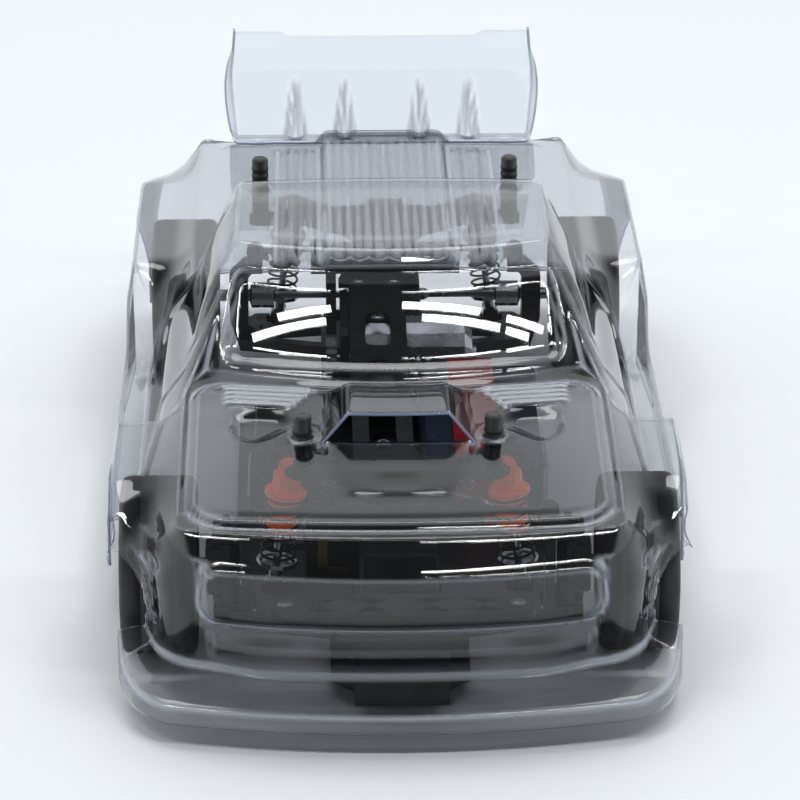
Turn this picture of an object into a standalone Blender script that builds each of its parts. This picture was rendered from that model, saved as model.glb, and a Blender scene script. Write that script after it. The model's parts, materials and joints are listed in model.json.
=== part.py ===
"""RC drift car: clear pickup body shell over a rear-wheel-drive chassis.

Lengths are millimetres here and metres in Blender.
"""

import math

import bmesh
import bpy
import numpy as np
from mathutils import Matrix, Vector

# ---------------------------------------------------------------- driving dimensions, mm
MM = 0.001
WHEELBASE = 257.0
AXLE_Y = WHEELBASE / 2
AXLE_Z = 31.0
ORIGIN_SHIFT = 3.5

TYRE_R = 31.0
TYRE_BORE_R = 26.3
TYRE_W = 26.0
RIM_R = 26.0
RIM_WALL = 1.6
HUB_R = 6.5
HUB_BORE_R = 2.8
SPOKE_WINDOWS = 5
WHEEL_STEPS = 24
RIM_STEPS = 16
FRONT_TYRE_OUT = 96.0
REAR_TYRE_OUT = 93.5

NOSE_Y = -178.0
LIP_Y = -215.5
FASCIA_Y = -201.0
HOOD_REAR_Y = -82.0
SCREEN_TOP_Y = -51.0
ROOF_FRONT_Y = -45.0
ROOF_REAR_Y = 27.0
BACK_TOP_Y = 31.0
BACK_FOOT_Y = 35.0
TAIL_Y = 196.0
WING_REAR_Y = 208.5
SHELL_T = 1.0
ARCH_R = 35.5
SKIRT_X = 104.0

POST_R = 3.15
POST_HOLE_R = 3.9
POST_NOTCHES = 3
FRONT_POST = (33.0, -125.0, 85.5)
REAR_POST = (50.0, 128.5, 90.0)

PLATE_Z = (4.5, 7.0)
DECK_Z = (44.3, 46.8)
DECK_X = (-15.0, 7.0)

ARM_IN_X = 20.0
ARM_OUT_X = 55.5
ARM_Z = 13.0
ARM_T = 5.0
LINK_IN_X = 27.0
LINK_OUT_X = 52.5
LINK_Z = 50.0
PIN_R = 1.3
EYE_BORE_R = 1.9
KINGPIN_X = 60.0
STEER_ARM = 16.0
HORN_Y = -97.0

SHOCK_TOP = (38.0, 61.0)
SHOCK_FOOT = (43.5, 17.5)
SHOCK_BACK = 13.0
TOWER_BACK = 18.0
SPRING_R = 6.5
SPRING_WIRE_R = 0.75
SPRING_TURNS = 4

MOTOR_R = 17.9
MOTOR_L = 50.0
SPUR_TEETH = 30
PINION_TEETH = 15
GEAR_MODULE = 1.2
SPUR_Y = 98.0
SPUR_Z = 34.0
MOTOR_Z = 25.8
GEAR_X = (-24.0, -20.0)
GEAR_ADDENDUM = 0.7
GEAR_DEDENDUM = 1.1

BATTERY = ((11.0, 57.0), (-46.0, 50.0), (7.3, 32.0))
STRAP_X = (23.0, 40.0)
STRAP_T = 1.5

GEAR_CENTRES = GEAR_MODULE * (SPUR_TEETH + PINION_TEETH) / 2
MOTOR_Y = SPUR_Y - math.sqrt(GEAR_CENTRES**2 - (SPUR_Z - MOTOR_Z) ** 2)

CLEAR = ((0.86, 0.9, 0.93), 0.06, 0.0)
BLACK = ((0.018, 0.018, 0.02), 0.42, 0.0)
DARK = ((0.05, 0.052, 0.056), 0.38, 0.0)
RUBBER = ((0.015, 0.015, 0.016), 0.62, 0.0)
ORANGE = ((0.82, 0.075, 0.02), 0.32, 0.35)
STEEL = ((0.55, 0.56, 0.58), 0.28, 1.0)
GOLD = ((0.42, 0.36, 0.16), 0.4, 0.5)
RED = ((0.85, 0.02, 0.015), 0.75, 0.0)
BLUE = ((0.05, 0.09, 0.16), 0.4, 0.0)


# ---------------------------------------------------------------- helpers
def clear_scene():
    for old in list(bpy.data.objects):
        bpy.data.objects.remove(old, do_unlink=True)


def place(x, y, z):
    """A point in metres from millimetres about the middle of the wheelbase."""
    return Vector((x, y + ORIGIN_SHIFT, z)) * MM


def material(name, look, alpha=1.0):
    made = bpy.data.materials.new(name)
    made.use_nodes = True
    shader = made.node_tree.nodes["Principled BSDF"]
    colour, rough, metal = look
    shader.inputs["Base Color"].default_value = (*colour, 1.0)
    shader.inputs["Roughness"].default_value = rough
    shader.inputs["Metallic"].default_value = metal
    shader.inputs["Alpha"].default_value = alpha
    return made


def add(name, bm, origin=(0, 0, 0), look=None, alpha=1.0, smooth=False):
    """Makes an object from a bmesh held in millimetres, with its origin at the given point."""
    at = place(*origin)
    bm.transform(Matrix.Translation((0, ORIGIN_SHIFT, 0)))
    bm.transform(Matrix.Scale(MM, 4))
    bm.transform(Matrix.Translation(-at))
    bmesh.ops.recalc_face_normals(bm, faces=bm.faces)
    mesh = bpy.data.meshes.new(name)
    bm.to_mesh(mesh)
    bm.free()
    for face in mesh.polygons:
        face.use_smooth = smooth
    made = bpy.data.objects.new(name, mesh)
    made.location = at
    bpy.context.scene.collection.objects.link(made)
    if look:
        mesh.materials.append(material(name, look, alpha))
    return made


def boolean(target, bm, operation="DIFFERENCE"):
    """Cuts the bmesh from the target, or joins it on."""
    count = len(target.modifiers)
    helper = add(f"{target.name}_helper_{count}", bm)
    helper.hide_render = True
    helper.display_type = "WIRE"
    change = target.modifiers.new(f"change_{count}", "BOOLEAN")
    change.operation = operation
    change.solver = "EXACT"
    change.object = helper


def merged(*parts):
    """One bmesh that holds several separate solids, for one Boolean."""
    whole = bmesh.new()
    for part in parts:
        mesh = bpy.data.meshes.new("part")
        part.to_mesh(mesh)
        part.free()
        whole.from_mesh(mesh)
        bpy.data.meshes.remove(mesh)
    return whole


def box(xs, ys, zs, bevel=0.0):
    bm = bmesh.new()
    bmesh.ops.create_cube(bm, size=1.0)
    low = Vector((min(xs), min(ys), min(zs)))
    high = Vector((max(xs), max(ys), max(zs)))
    for vert in bm.verts:
        vert.co = Vector(low[i] + (vert.co[i] + 0.5) * (high[i] - low[i]) for i in range(3))
    if bevel:
        bmesh.ops.bevel(bm, geom=bm.edges[:], offset=bevel, segments=1, affect="EDGES")
    return bm


def prism(outline, lo, hi, axis="z"):
    """Extrudes a 2-D outline: (x, y) along z, (x, z) along y or (y, z) along x."""
    order = {"z": (0, 1, 2), "y": (0, 2, 1), "x": (2, 0, 1)}[axis]

    def turn(*lengths):
        return tuple(lengths[k] for k in order)

    bm = bmesh.new()
    rings = [[bm.verts.new(turn(a, b, h)) for a, b in outline] for h in (lo, hi)]
    count = len(outline)
    bm.faces.new(rings[0])
    bm.faces.new(reversed(rings[1]))
    for i in range(count):
        j = (i + 1) % count
        bm.faces.new((rings[0][i], rings[0][j], rings[1][j], rings[1][i]))
    return bm


def lathe(profile, steps, closed=False):
    """Turns (radius, height) points about +Z. An open profile starts and ends on the axis."""
    bm = bmesh.new()
    rings = []
    for radius, height in profile:
        if radius < 1e-6:
            rings.append([bm.verts.new((0, 0, height))])
            continue
        angles = [2 * math.pi * k / steps for k in range(steps)]
        rings.append([bm.verts.new((radius * math.cos(a), radius * math.sin(a), height)) for a in angles])
    pairs = list(zip(rings, rings[1:]))
    if closed:
        pairs.append((rings[-1], rings[0]))
    for first, second in pairs:
        for k in range(steps):
            n = (k + 1) % steps
            around = ((first, k), (first, n), (second, n), (second, k))
            corners = [ring[i % len(ring)] for ring, i in around]
            face = list(dict.fromkeys(corners))
            bm.faces.new(face)
    return bm


def aim(bm, start, end):
    """Moves a bmesh built along +Z from the origin so that it runs from start towards end."""
    start = Vector(start)
    turn = Vector((0, 0, 1)).rotation_difference(Vector(end) - start)
    bm.transform(Matrix.Translation(start) @ turn.to_matrix().to_4x4())
    return bm


def rod(start, end, radius, steps=8):
    length = (Vector(end) - Vector(start)).length
    return aim(lathe([(0, 0), (radius, 0), (radius, length), (0, length)], steps), start, end)


def rounded(xs, ys, radius, steps=4):
    """The outline of a rectangle with rounded corners."""
    points = []
    for cx, cy, start in (
        (max(xs) - radius, max(ys) - radius, 0),
        (min(xs) + radius, max(ys) - radius, 90),
        (min(xs) + radius, min(ys) + radius, 180),
        (max(xs) - radius, min(ys) + radius, 270),
    ):
        for k in range(steps + 1):
            angle = math.radians(start + 90 * k / steps)
            points.append((cx + radius * math.cos(angle), cy + radius * math.sin(angle)))
    return points


def mirrored(outline, side):
    return [(side * a, b) for a, b in outline]


# ---------------------------------------------------------------- body shell
def along(y, *pairs):
    """A value between named positions along the car."""
    ys, values = zip(*pairs)
    return float(np.interp(y, ys, values))


def flare(y):
    """1 on the box flares round the wheels and 0 along the doors."""
    return along(y, (-92, 1), (-86, 0), (48, 0), (66, 1))


def blend(share, door, arch):
    return tuple(a + (b - a) * share for a, b in zip(door, arch))


def half_section(y):
    """(x, y, z) points from the middle of the top down to the lower edge of one side."""
    top = along(
        y,
        (NOSE_Y, 70),
        (HOOD_REAR_Y, 80),
        (SCREEN_TOP_Y, 112),
        (ROOF_FRONT_Y, 118),
        (ROOF_REAR_Y, 118.5),
        (BACK_TOP_Y, 112),
        (BACK_FOOT_Y, 77),
        (TAIL_Y, 74.5),
    )
    edge = along(
        y,
        (HOOD_REAR_Y, 66),
        (SCREEN_TOP_Y, 58.5),
        (ROOF_FRONT_Y, 58),
        (ROOF_REAR_Y, 58),
        (BACK_TOP_Y, 59),
        (BACK_FOOT_Y, 64),
    )
    belt = along(y, (NOSE_Y, 68), (HOOD_REAR_Y, 77.5), (BACK_FOOT_Y, 76.5), (TAIL_Y, 74))
    share = flare(y)
    reach = along(y, (NOSE_Y, 0), (-150, 0.75), (-112, 1), (160, 1), (TAIL_Y, 0.55))
    drop = along(y, (NOSE_Y, 11), (-150, 7), (-112, 0), (160, 0), (TAIL_Y, 12))
    upper = blend(share, (88.5, 48), (85 + 13.5 * reach, 69.5 - drop))
    middle = blend(share, (92.5, 31), (88 + 13 * reach, 52 - drop))
    lower = blend(share, (SKIRT_X, 29), (91 + 11.5 * reach, 32 - drop))
    foot = blend(share, (SKIRT_X, 12), (91.5 + 11 * reach, 14))
    points = [
        (0, y, top),
        (edge * 0.55, y, top - 0.3),
        (edge, y, top - 1.2),
        (75, y, min(belt, top - 1.5)),
        (83, y, blend(share, (66,), (70 - drop * 0.6,))[0]),
    ]
    return points + [(x, y, z) for x, z in (upper, middle, lower, foot)]


def bow(x):
    """How far the nose sweeps back towards its corners."""
    return 0.0009 * x**2 + 12 * max(0.0, (x - 60) / 26) ** 2


def nose_rows():
    """Rows below the hood, from the middle outwards: fascia top and foot, splitter edge and lip."""
    rows = []
    for y, z, widths in (
        (FASCIA_Y + 2, 61, (0, 34, 62, 74, 83.5)),
        (FASCIA_Y, 19, (0, 34, 62, 75, 85)),
        (LIP_Y, 13.5, (0, 35, 64, 81, 91)),
        (LIP_Y, 7, (0, 35, 64, 81, 91.5)),
    ):
        rows.append([(x, y + bow(x * 0.97), z) for x in widths])
    return rows


def nose_side():
    """Side points under the front corner, one for each row of the nose."""
    return [(88.5, -168, 58), (91, -166, 20), (95.5, -168, 14), (96, -168, 7)]


def tail_rows():
    rows = []
    for z, back in ((62, 2.5), (46, 3), (32, 2.5), (20, 1)):
        rows.append([(x, TAIL_Y + back - 4 * (x / 83) ** 4, z) for x in (0, 32, 64, 75, 83.5)])
    return rows


def tail_side():
    return [(94, 188, 60), (97, 187, 46), (97, 186, 32), (95, 185, 20)]


def shell_sheet():
    """The outside of the shell as one open sheet, wrapped down at the nose and at the tail."""
    stations = [NOSE_Y, -160, -150, -139, -128, -119, -112, -92, -86, HOOD_REAR_Y, -66, SCREEN_TOP_Y]
    stations += [ROOF_FRONT_Y, -9, ROOF_REAR_Y, BACK_TOP_Y, BACK_FOOT_Y]
    stations += [48, 57, 66, 96, 128, 160, 178, TAIL_Y]
    grid = [half_section(y) for y in stations]
    grid[0] = grid[0][:5] + nose_side()
    grid[0] = [(x, y + (bow(x) if k < 5 else 0), z) for k, (x, y, z) in enumerate(grid[0])]
    grid[-1] = grid[-1][:5] + tail_side()
    bm = bmesh.new()
    seen = {}

    def vert(x, y, z):
        key = (round(x, 4), round(y, 4), round(z, 4))
        if key not in seen:
            seen[key] = bm.verts.new(key)
        return seen[key]

    def patch(rows, side):
        for near, far in zip(rows, rows[1:]):
            for k in range(len(near) - 1):
                corners = (near[k], near[k + 1], far[k + 1], far[k])
                face = list(dict.fromkeys(vert(side * x, y, z) for x, y, z in corners))
                bm.faces.new(face)

    for side in (1, -1):
        patch(grid, side)
        for rows, edge in ((nose_rows(), grid[0]), (tail_rows(), grid[-1])):
            wrapped = [edge[:5]] + [row + [edge[5 + k]] for k, row in enumerate(rows)]
            patch([row[:5] for row in wrapped], side)
            bm.faces.new([vert(side * x, y, z) for x, y, z in (edge[4], edge[5], wrapped[1][4])])
            for k in range(1, 4):
                ring = (wrapped[k][4], edge[4 + k], edge[5 + k], wrapped[k + 1][4])
                bm.faces.new([vert(side * x, y, z) for x, y, z in ring])
    bmesh.ops.recalc_face_normals(bm, faces=bm.faces)
    roof = max(bm.faces, key=lambda face: face.calc_center_median().z)
    if roof.normal.z < 0:
        bmesh.ops.reverse_faces(bm, faces=bm.faces)
    return bm


def hull(points):
    bm = bmesh.new()
    for point in points:
        bm.verts.new(point)
    bmesh.ops.convex_hull(bm, input=bm.verts)
    return bm


def scoop(grow, front, foot):
    """The hood scoop's block; the smaller one inside it makes it hollow."""
    points = []
    for side in (1, -1):
        points.append((side * (24.8 + grow), front, foot))
        points.append((side * (17.3 + grow), front + 3 * (grow > 0), 86.3 + grow))
        points.append((side * (16.5 + grow), -103.5 + grow, 85.9 + grow))
        points.append((side * (19.8 + grow), -90.5 + grow, foot))
    return hull(points)


def body_shell():
    bm = shell_sheet()
    bm.normal_update()
    outer = add("body_shell", bm, look=CLEAR, alpha=0.3)
    mesh = outer.data
    top = max(mesh.polygons, key=lambda face: face.center.z)
    if top.normal.z < 0:
        mesh.flip_normals()
    thick = outer.modifiers.new("sheet", "SOLIDIFY")
    thick.thickness = SHELL_T * MM
    thick.offset = -1.0
    thick.use_even_offset = True
    boolean(outer, scoop(1.2, -131.0, 74.5), "UNION")
    cuts = [scoop(0.0, -132.0, 70.0)]
    for x, y, z in (FRONT_POST, REAR_POST):
        for side in (1, -1):
            cuts.append(rod((side * x, y, 66), (side * x, y, 84), POST_HOLE_R, 16))
    for side in (1, -1):
        for axle in (-AXLE_Y, AXLE_Y):
            cuts.append(rod((side * 84, axle, AXLE_Z), (side * 112, axle, AXLE_Z), ARCH_R, 36))
            cuts.append(box((side * 84, side * 112), (axle - ARCH_R, axle + ARCH_R), (0, AXLE_Z - 4)))
    for cut in cuts:
        boolean(outer, cut)


def wing():
    foot_z = 75.6
    plate = [
        (189, foot_z),
        (195.5, foot_z),
        (199.2, 103.5),
        (203.5, 117.3),
        (202.3, 117.7),
        (198, 104),
        (194.5, foot_z + 1.3),
        (189, foot_z + 1.2),
    ]
    made = add("rear_wing", prism(plate, -62.5, 62.5, "x"), look=CLEAR, alpha=0.3)
    rear = [(190, foot_z), (199, foot_z), (WING_REAR_Y, 101)]
    end = rear + [(WING_REAR_Y - 1, 117.6), (202.3, 117.6), (196, 100)]
    fin = [(194.6, foot_z + 0.6), (198.6, 98), (191, foot_z + 0.6)]
    for side in (1, -1):
        boolean(made, prism(end, side * 61.5, side * 64.5, "x"), "UNION")
        for x in (15.5, 36.0):
            boolean(made, prism(fin, side * x - 3, side * x + 3, "x"), "UNION")


# ---------------------------------------------------------------- chassis
def chassis():
    half = [(16, -176), (24, -168), (24, -106), (58, -84), (58, 60), (26, 92), (26, 160), (18, 170)]
    outline = half + [(-x, y) for x, y in reversed(half)]
    made = add("chassis_plate", prism(outline, *PLATE_Z), look=BLACK)
    slots = [prism(rounded((s * 30, s * 50), (56, 66), 3), 0, 9) for s in (1, -1)]
    slots.append(prism(rounded((-6, 6), (-70, -20), 5), 0, 9))
    slots.append(prism(rounded((-6, 6), (-8, 42), 5), 0, 9))
    boolean(made, merged(*slots))

    middle = sum(DECK_X) / 2
    deck = add("top_deck", prism(rounded(DECK_X, (-126, 104), 4), *DECK_Z), look=DARK)
    windows = [prism(rounded((middle - 5, middle + 5), (y, y + 34), 4), 40, 50) for y in (-62, -14, 34)]
    boolean(deck, merged(*windows))


def bumper():
    made = add("front_bumper", prism(rounded((-45, 45), (-192, -175), 8.3), 38, 41), look=BLACK)
    webs = []
    for side in (1, -1):
        for start, width in ((4, 12), (22, 12)):
            low, high = start, start + width
            middle = (low + high) / 2
            for base, tip in ((-179, -183), (-188.5, -184.5)):
                notch = [(low, base), (high, base), (middle, tip)]
                webs.append(prism(mirrored(notch, side), 36, 43))
        webs.append(rod((side * 39, -183.5, 36), (side * 39, -183.5, 43), 1.5))
    boolean(made, box((-16, 16), (-192, -189.5), (7.4, 39)), "UNION")
    boolean(made, box((-14, 14), (-191, -151.5), (7.4, 11)), "UNION")
    boolean(made, merged(*webs))


def suspension_mounts(made, axle):
    """Hinge lugs and pins for the lower arms, and a bracket with studs for the upper links."""
    boolean(made, box((-30, 30), (axle - 5.5, axle - 2.5), (42, 54.5)), "UNION")
    for side in (1, -1):
        for low in (-21.9, 15.9):
            boolean(made, box((0, side * 24), (axle + low, axle + low + 3), (7.4, 16.5)), "UNION")
        x = side * ARM_IN_X
        boolean(made, rod((x, axle - 20, ARM_Z), (x, axle + 17, ARM_Z), PIN_R), "UNION")
        x = side * LINK_IN_X
        boolean(made, rod((x, axle - 3.5, LINK_Z + 1), (x, axle + 4, LINK_Z + 1), PIN_R), "UNION")


def front_bulkhead():
    made = add("front_bulkhead", box((-13.5, 13.5), (-150, -108), (7.4, 44), 1.0), look=BLACK)
    suspension_mounts(made, -AXLE_Y)


def rear_gearbox():
    made = add("rear_gearbox", box((-13.5, 13.5), (92, 150), (7.4, 44), 1.0), look=BLACK)
    arch = [(-19, 43), (13, 43)]
    arch += [(-3 + 16 * math.cos(a), 46 + 8 * math.sin(a)) for a in np.linspace(0, math.pi, 7)]
    boolean(made, prism(arch, 104.5, 107.5, "y"), "UNION")
    plate = rounded((MOTOR_Y - 19, 106), (7.4, 43.9), 6, 2)
    boolean(made, prism(plate, -18.6, -15.4, "x"), "UNION")
    boolean(made, box((-17, 0), (94, 105), (10, 40)), "UNION")
    boolean(made, rod((-16, SPUR_Y, SPUR_Z), (-25, SPUR_Y, SPUR_Z), 2.4), "UNION")
    suspension_mounts(made, AXLE_Y)
    for side in (1, -1):
        boolean(made, rod((side * 9, AXLE_Y, AXLE_Z), (side * 20, AXLE_Y, AXLE_Z), 5.0, 12))
    boolean(made, rod((-12, MOTOR_Y, MOTOR_Z), (-21, MOTOR_Y, MOTOR_Z), 4.0))


def tower(name, axle, foot_z):
    """A shock tower: an arched plate behind the axle, with one stud pointing forward on each side."""
    half = [(9, foot_z), (16, foot_z + 5), (33, 54), (44, 57.5), (45, 65), (36, 66.5), (20, 61), (8, 62)]
    outline = half + [(-x, z) for x, z in reversed(half)]
    face = axle + TOWER_BACK
    made = add(name, prism(outline, face, face + 3.5, "y"), look=BLACK)
    for side in (1, -1):
        x, z = side * SHOCK_TOP[0], SHOCK_TOP[1]
        boolean(made, rod((x, face + 1, z), (x, axle + SHOCK_BACK - 3.5, z), PIN_R), "UNION")


def body_mount(name, post, tongue_y, foot=62.2):
    x, y, top = post
    bar = rounded((-x - 4.5, x + 4.5), (y - 3.6, y + 3.6), 3.5)
    made = add(name, prism(bar, foot, foot + 3.6), look=BLACK)
    boolean(made, box((-7.5, 7.5), (y, tongue_y), (foot, foot + 3.6)), "UNION")
    for side in (1, -1):
        profile = [(0, 0), (POST_R, 0)]
        length = top - foot - 2
        for k in range(POST_NOTCHES):
            start = length * (0.5 + 0.14 * k)
            profile += [(POST_R, start), (POST_R - 0.6, start + 0.6), (POST_R, start + 1.2)]
        profile += [(POST_R, length - 0.8), (POST_R - 0.8, length), (0, length)]
        boolean(made, aim(lathe(profile, 10), (side * x, y, foot + 2), (side * x, y, top)), "UNION")


# ---------------------------------------------------------------- wheels
def wheel_profiles():
    half = TYRE_W / 2
    tyre = [
        (TYRE_BORE_R, -half + 0.8),
        (TYRE_R - 1.6, -half),
        (TYRE_R, -half + 2.2),
        (TYRE_R, half - 2.2),
        (TYRE_R - 1.6, half),
        (TYRE_BORE_R, half - 0.8),
    ]
    dish = half - 8
    rim = [
        (RIM_R, -half + 1.2),
        (RIM_R, half - 0.4),
        (RIM_R - RIM_WALL, half - 0.4),
        (RIM_R - RIM_WALL - 1, dish + 2),
        (HUB_R + 1, dish + 1),
        (HUB_R, dish + 3),
        (HUB_BORE_R, dish + 3),
        (HUB_BORE_R, dish - 9),
        (HUB_R, dish - 9),
        (HUB_R, dish - 2),
        (RIM_R - RIM_WALL, dish - 1),
        (RIM_R - RIM_WALL, -half + 1.2),
    ]
    return tyre, rim


def wheel(corner, side, centre):
    """The rim and its tyre; heights in the profiles grow towards the outer face."""
    tyre, rim = wheel_profiles()
    out = (centre[0] + side, centre[1], centre[2])
    bm = aim(lathe(tyre, WHEEL_STEPS, closed=True), centre, out)
    add(f"{corner}_tyre", bm, centre, look=RUBBER, smooth=False)
    bm = aim(lathe(rim, RIM_STEPS, closed=True), centre, out)
    made = add(f"{corner}_rim", bm, centre, look=DARK)
    windows = []
    spread = math.radians(24)
    depth = (centre[0] - side * 6, centre[0] + side * 22)
    for k in range(SPOKE_WINDOWS):
        middle = 2 * math.pi * k / SPOKE_WINDOWS
        corners = ((10.5, -spread), (21.5, -spread), (21.5, spread), (10.5, spread))
        points = [(r * math.cos(middle + a), r * math.sin(middle + a)) for r, a in corners]
        outline = [(centre[1] + a, centre[2] + b) for a, b in points]
        windows.append(prism(outline, min(depth), max(depth), "x"))
    boolean(made, merged(*windows))


# ---------------------------------------------------------------- suspension
def lower_arm(corner, side, axle):
    """An A-shaped arm with a fork at its outer end and a pocket for the shock's foot behind the axle."""
    half = ARM_T / 2
    outline = [
        (15.5, -18.5),
        (24, -18.5),
        (59, -9.5),
        (59, -6.3),
        (49.8, -6.3),
        (49.8, 6.3),
        (59, 6.3),
        (59, 9.5),
        (53, 19),
        (26, 19),
        (26, 15.6),
        (15.5, 15.6),
    ]
    points = [(side * x, axle + y) for x, y in outline]
    origin = (side * ARM_IN_X, axle, ARM_Z)
    made = add(f"{corner}_lower_arm", prism(points, ARM_Z - half, ARM_Z + half), origin, look=BLACK)
    window = [(26, -13.5), (44, -8.5), (44, 3), (26, 6)]
    x, z = side * SHOCK_FOOT[0], SHOCK_FOOT[1]
    middle = axle + SHOCK_BACK
    cuts = [prism([(side * a, axle + b) for a, b in window], 0, 30)]
    cuts.append(box((x - 5, x + 5), (middle - 3.6, middle + 3.6), (0, 30)))
    boolean(made, merged(*cuts))
    boolean(made, rod((side * ARM_IN_X, axle - 22, ARM_Z), (side * ARM_IN_X, axle + 20, ARM_Z), 1.8))
    pin_ends = [(side * ARM_OUT_X, axle + reach, ARM_Z) for reach in (-8, 8)]
    boolean(made, rod(*pin_ends, PIN_R), "UNION")
    for low in (middle - 4.8, middle + 3.4):
        boolean(made, box((x - 3, x + 3), (low, low + 1.4), (ARM_Z, z + 2.6)), "UNION")
    boolean(made, rod((x, middle - 4.2, z), (x, middle + 4.2, z), PIN_R), "UNION")


def upper_link(corner, side, axle):
    inner = (side * LINK_IN_X, axle, LINK_Z + 1)
    outer = (side * LINK_OUT_X, axle, LINK_Z)
    near = (side * (LINK_IN_X + 2.5), axle, LINK_Z + 0.9)
    far = (side * (LINK_OUT_X - 2.5), axle, LINK_Z + 0.1)
    made = add(f"{corner}_upper_link", rod(near, far, 1.4), inner, look=BLACK)
    for x, _, z in (inner, outer):
        boolean(made, rod((x, axle - 2.0, z), (x, axle + 2.6, z), 3.4, 10), "UNION")
    bores = [rod((x, axle - 5, z), (x, axle + 5, z), EYE_BORE_R) for x, _, z in (inner, outer)]
    boolean(made, merged(*bores))


def carrier_top(made, side, axle):
    """The tab and stud that the upper link holds."""
    x = side * LINK_OUT_X
    boolean(made, box((x - 3, x + 3), (axle - 4.8, axle - 2.6), (42, 53.6)), "UNION")
    boolean(made, rod((x, axle - 3, LINK_Z), (x, axle + 3.6, LINK_Z), PIN_R), "UNION")


def caster_block(side):
    """The C-shaped front hub carrier that holds the kingpin."""
    lower_jaw = [(51, 9.4), (64.5, 9.4), (64.5, 16.2), (54.6, 16.2)]
    upper_jaw = [(54.6, 41), (64.5, 41), (64.5, 45.8), (51, 45.8)]
    jaw = lower_jaw + upper_jaw
    corner = "front_left" if side > 0 else "front_right"
    low, high = -AXLE_Y - 5, -AXLE_Y + 5
    origin = (side * ARM_OUT_X, -AXLE_Y, ARM_Z)
    made = add(f"{corner}_caster_block", prism(mirrored(jaw, side), low, high, "y"), origin, look=BLACK)
    cuts = [rod((side * ARM_OUT_X, low - 3, ARM_Z), (side * ARM_OUT_X, high + 3, ARM_Z), 1.7)]
    cuts.append(rod((side * KINGPIN_X, -AXLE_Y, 5), (side * KINGPIN_X, -AXLE_Y, 60), 2.3))
    for cut in cuts:
        boolean(made, cut)
    carrier_top(made, side, -AXLE_Y)


def steering_knuckle(side):
    corner = "front_left" if side > 0 else "front_right"
    x = side * KINGPIN_X
    profile = [(0, 10), (1.8, 10), (1.8, 17), (4.8, 17), (4.8, 40.2), (1.8, 40.2), (1.8, 45.4), (0, 45.4)]
    post = lathe(profile, 10)
    post.transform(Matrix.Translation((x, -AXLE_Y, 0)))
    made = add(f"{corner}_knuckle", post, (x, -AXLE_Y, AXLE_Z), look=BLACK)
    boolean(made, box((x, x + side * 7), (-AXLE_Y - 5, -AXLE_Y + 5), (21, 39), 0.8), "UNION")
    pin_y = -AXLE_Y + STEER_ARM
    boolean(made, box((x - 2.5, x + 2.5), (-AXLE_Y + 2, pin_y + 2.5), (26.5, 30)), "UNION")
    boolean(made, rod((x, pin_y, 29), (x, pin_y, 42), PIN_R), "UNION")
    spindle = [(0, 0), (2.4, 0), (2.4, 27.5), (4.2, 27.5), (4.2, 32.5), (0, 32.5)]
    spindle_from = (x + side * 4, -AXLE_Y, AXLE_Z)
    boolean(made, aim(lathe(spindle, 10), spindle_from, (x + side * 5, -AXLE_Y, AXLE_Z)), "UNION")


def rear_hub(side):
    corner = "rear_left" if side > 0 else "rear_right"
    outer_face = [(51, 9.4), (59, 9.4), (63, 22), (63, 40), (57, 45.8)]
    block = outer_face + [(51, 45.8), (55.5, 40), (55.5, 20), (51, 17)]
    low, high = AXLE_Y - 5, AXLE_Y + 5
    origin = (side * ARM_OUT_X, AXLE_Y, ARM_Z)
    made = add(f"{corner}_hub", prism(mirrored(block, side), low, high, "y"), origin, look=BLACK)
    boolean(made, rod((side * 55.5, AXLE_Y, AXLE_Z), (side * 63, AXLE_Y, AXLE_Z), 6.8, 18), "UNION")
    boolean(made, rod((side * ARM_OUT_X, low - 3, ARM_Z), (side * ARM_OUT_X, high + 3, ARM_Z), 1.7))
    boolean(made, rod((side * 50, AXLE_Y, AXLE_Z), (side * 70, AXLE_Y, AXLE_Z), 2.8, 14))
    carrier_top(made, side, AXLE_Y)


def rear_axle(side):
    corner = "rear_left" if side > 0 else "rear_right"
    socket = [(0, 8), (3.6, 8), (3.6, 0), (5.2, 0), (5.2, 9)]
    cup = socket + [(2.4, 10), (2.4, 44), (4.2, 44), (4.2, 48.5), (0, 48.5)]
    start = (side * 45, AXLE_Y, AXLE_Z)
    made = aim(lathe(cup, 12), start, (side * 46, AXLE_Y, AXLE_Z))
    add(f"{corner}_axle", made, (side * 80, AXLE_Y, AXLE_Z), look=STEEL)
    ball = [(0, 0), (2.6, 1.6), (2.6, 3.6), (1.5, 5.2)]
    bone = ball + [(radius, 37 - height) for radius, height in reversed(ball)]
    start = (side * 12.5, AXLE_Y, AXLE_Z)
    made = aim(lathe(bone, 8), start, (side * 13.5, AXLE_Y, AXLE_Z))
    add(f"{corner}_drive_shaft", made, (side * 15, AXLE_Y, AXLE_Z), look=STEEL)


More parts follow.
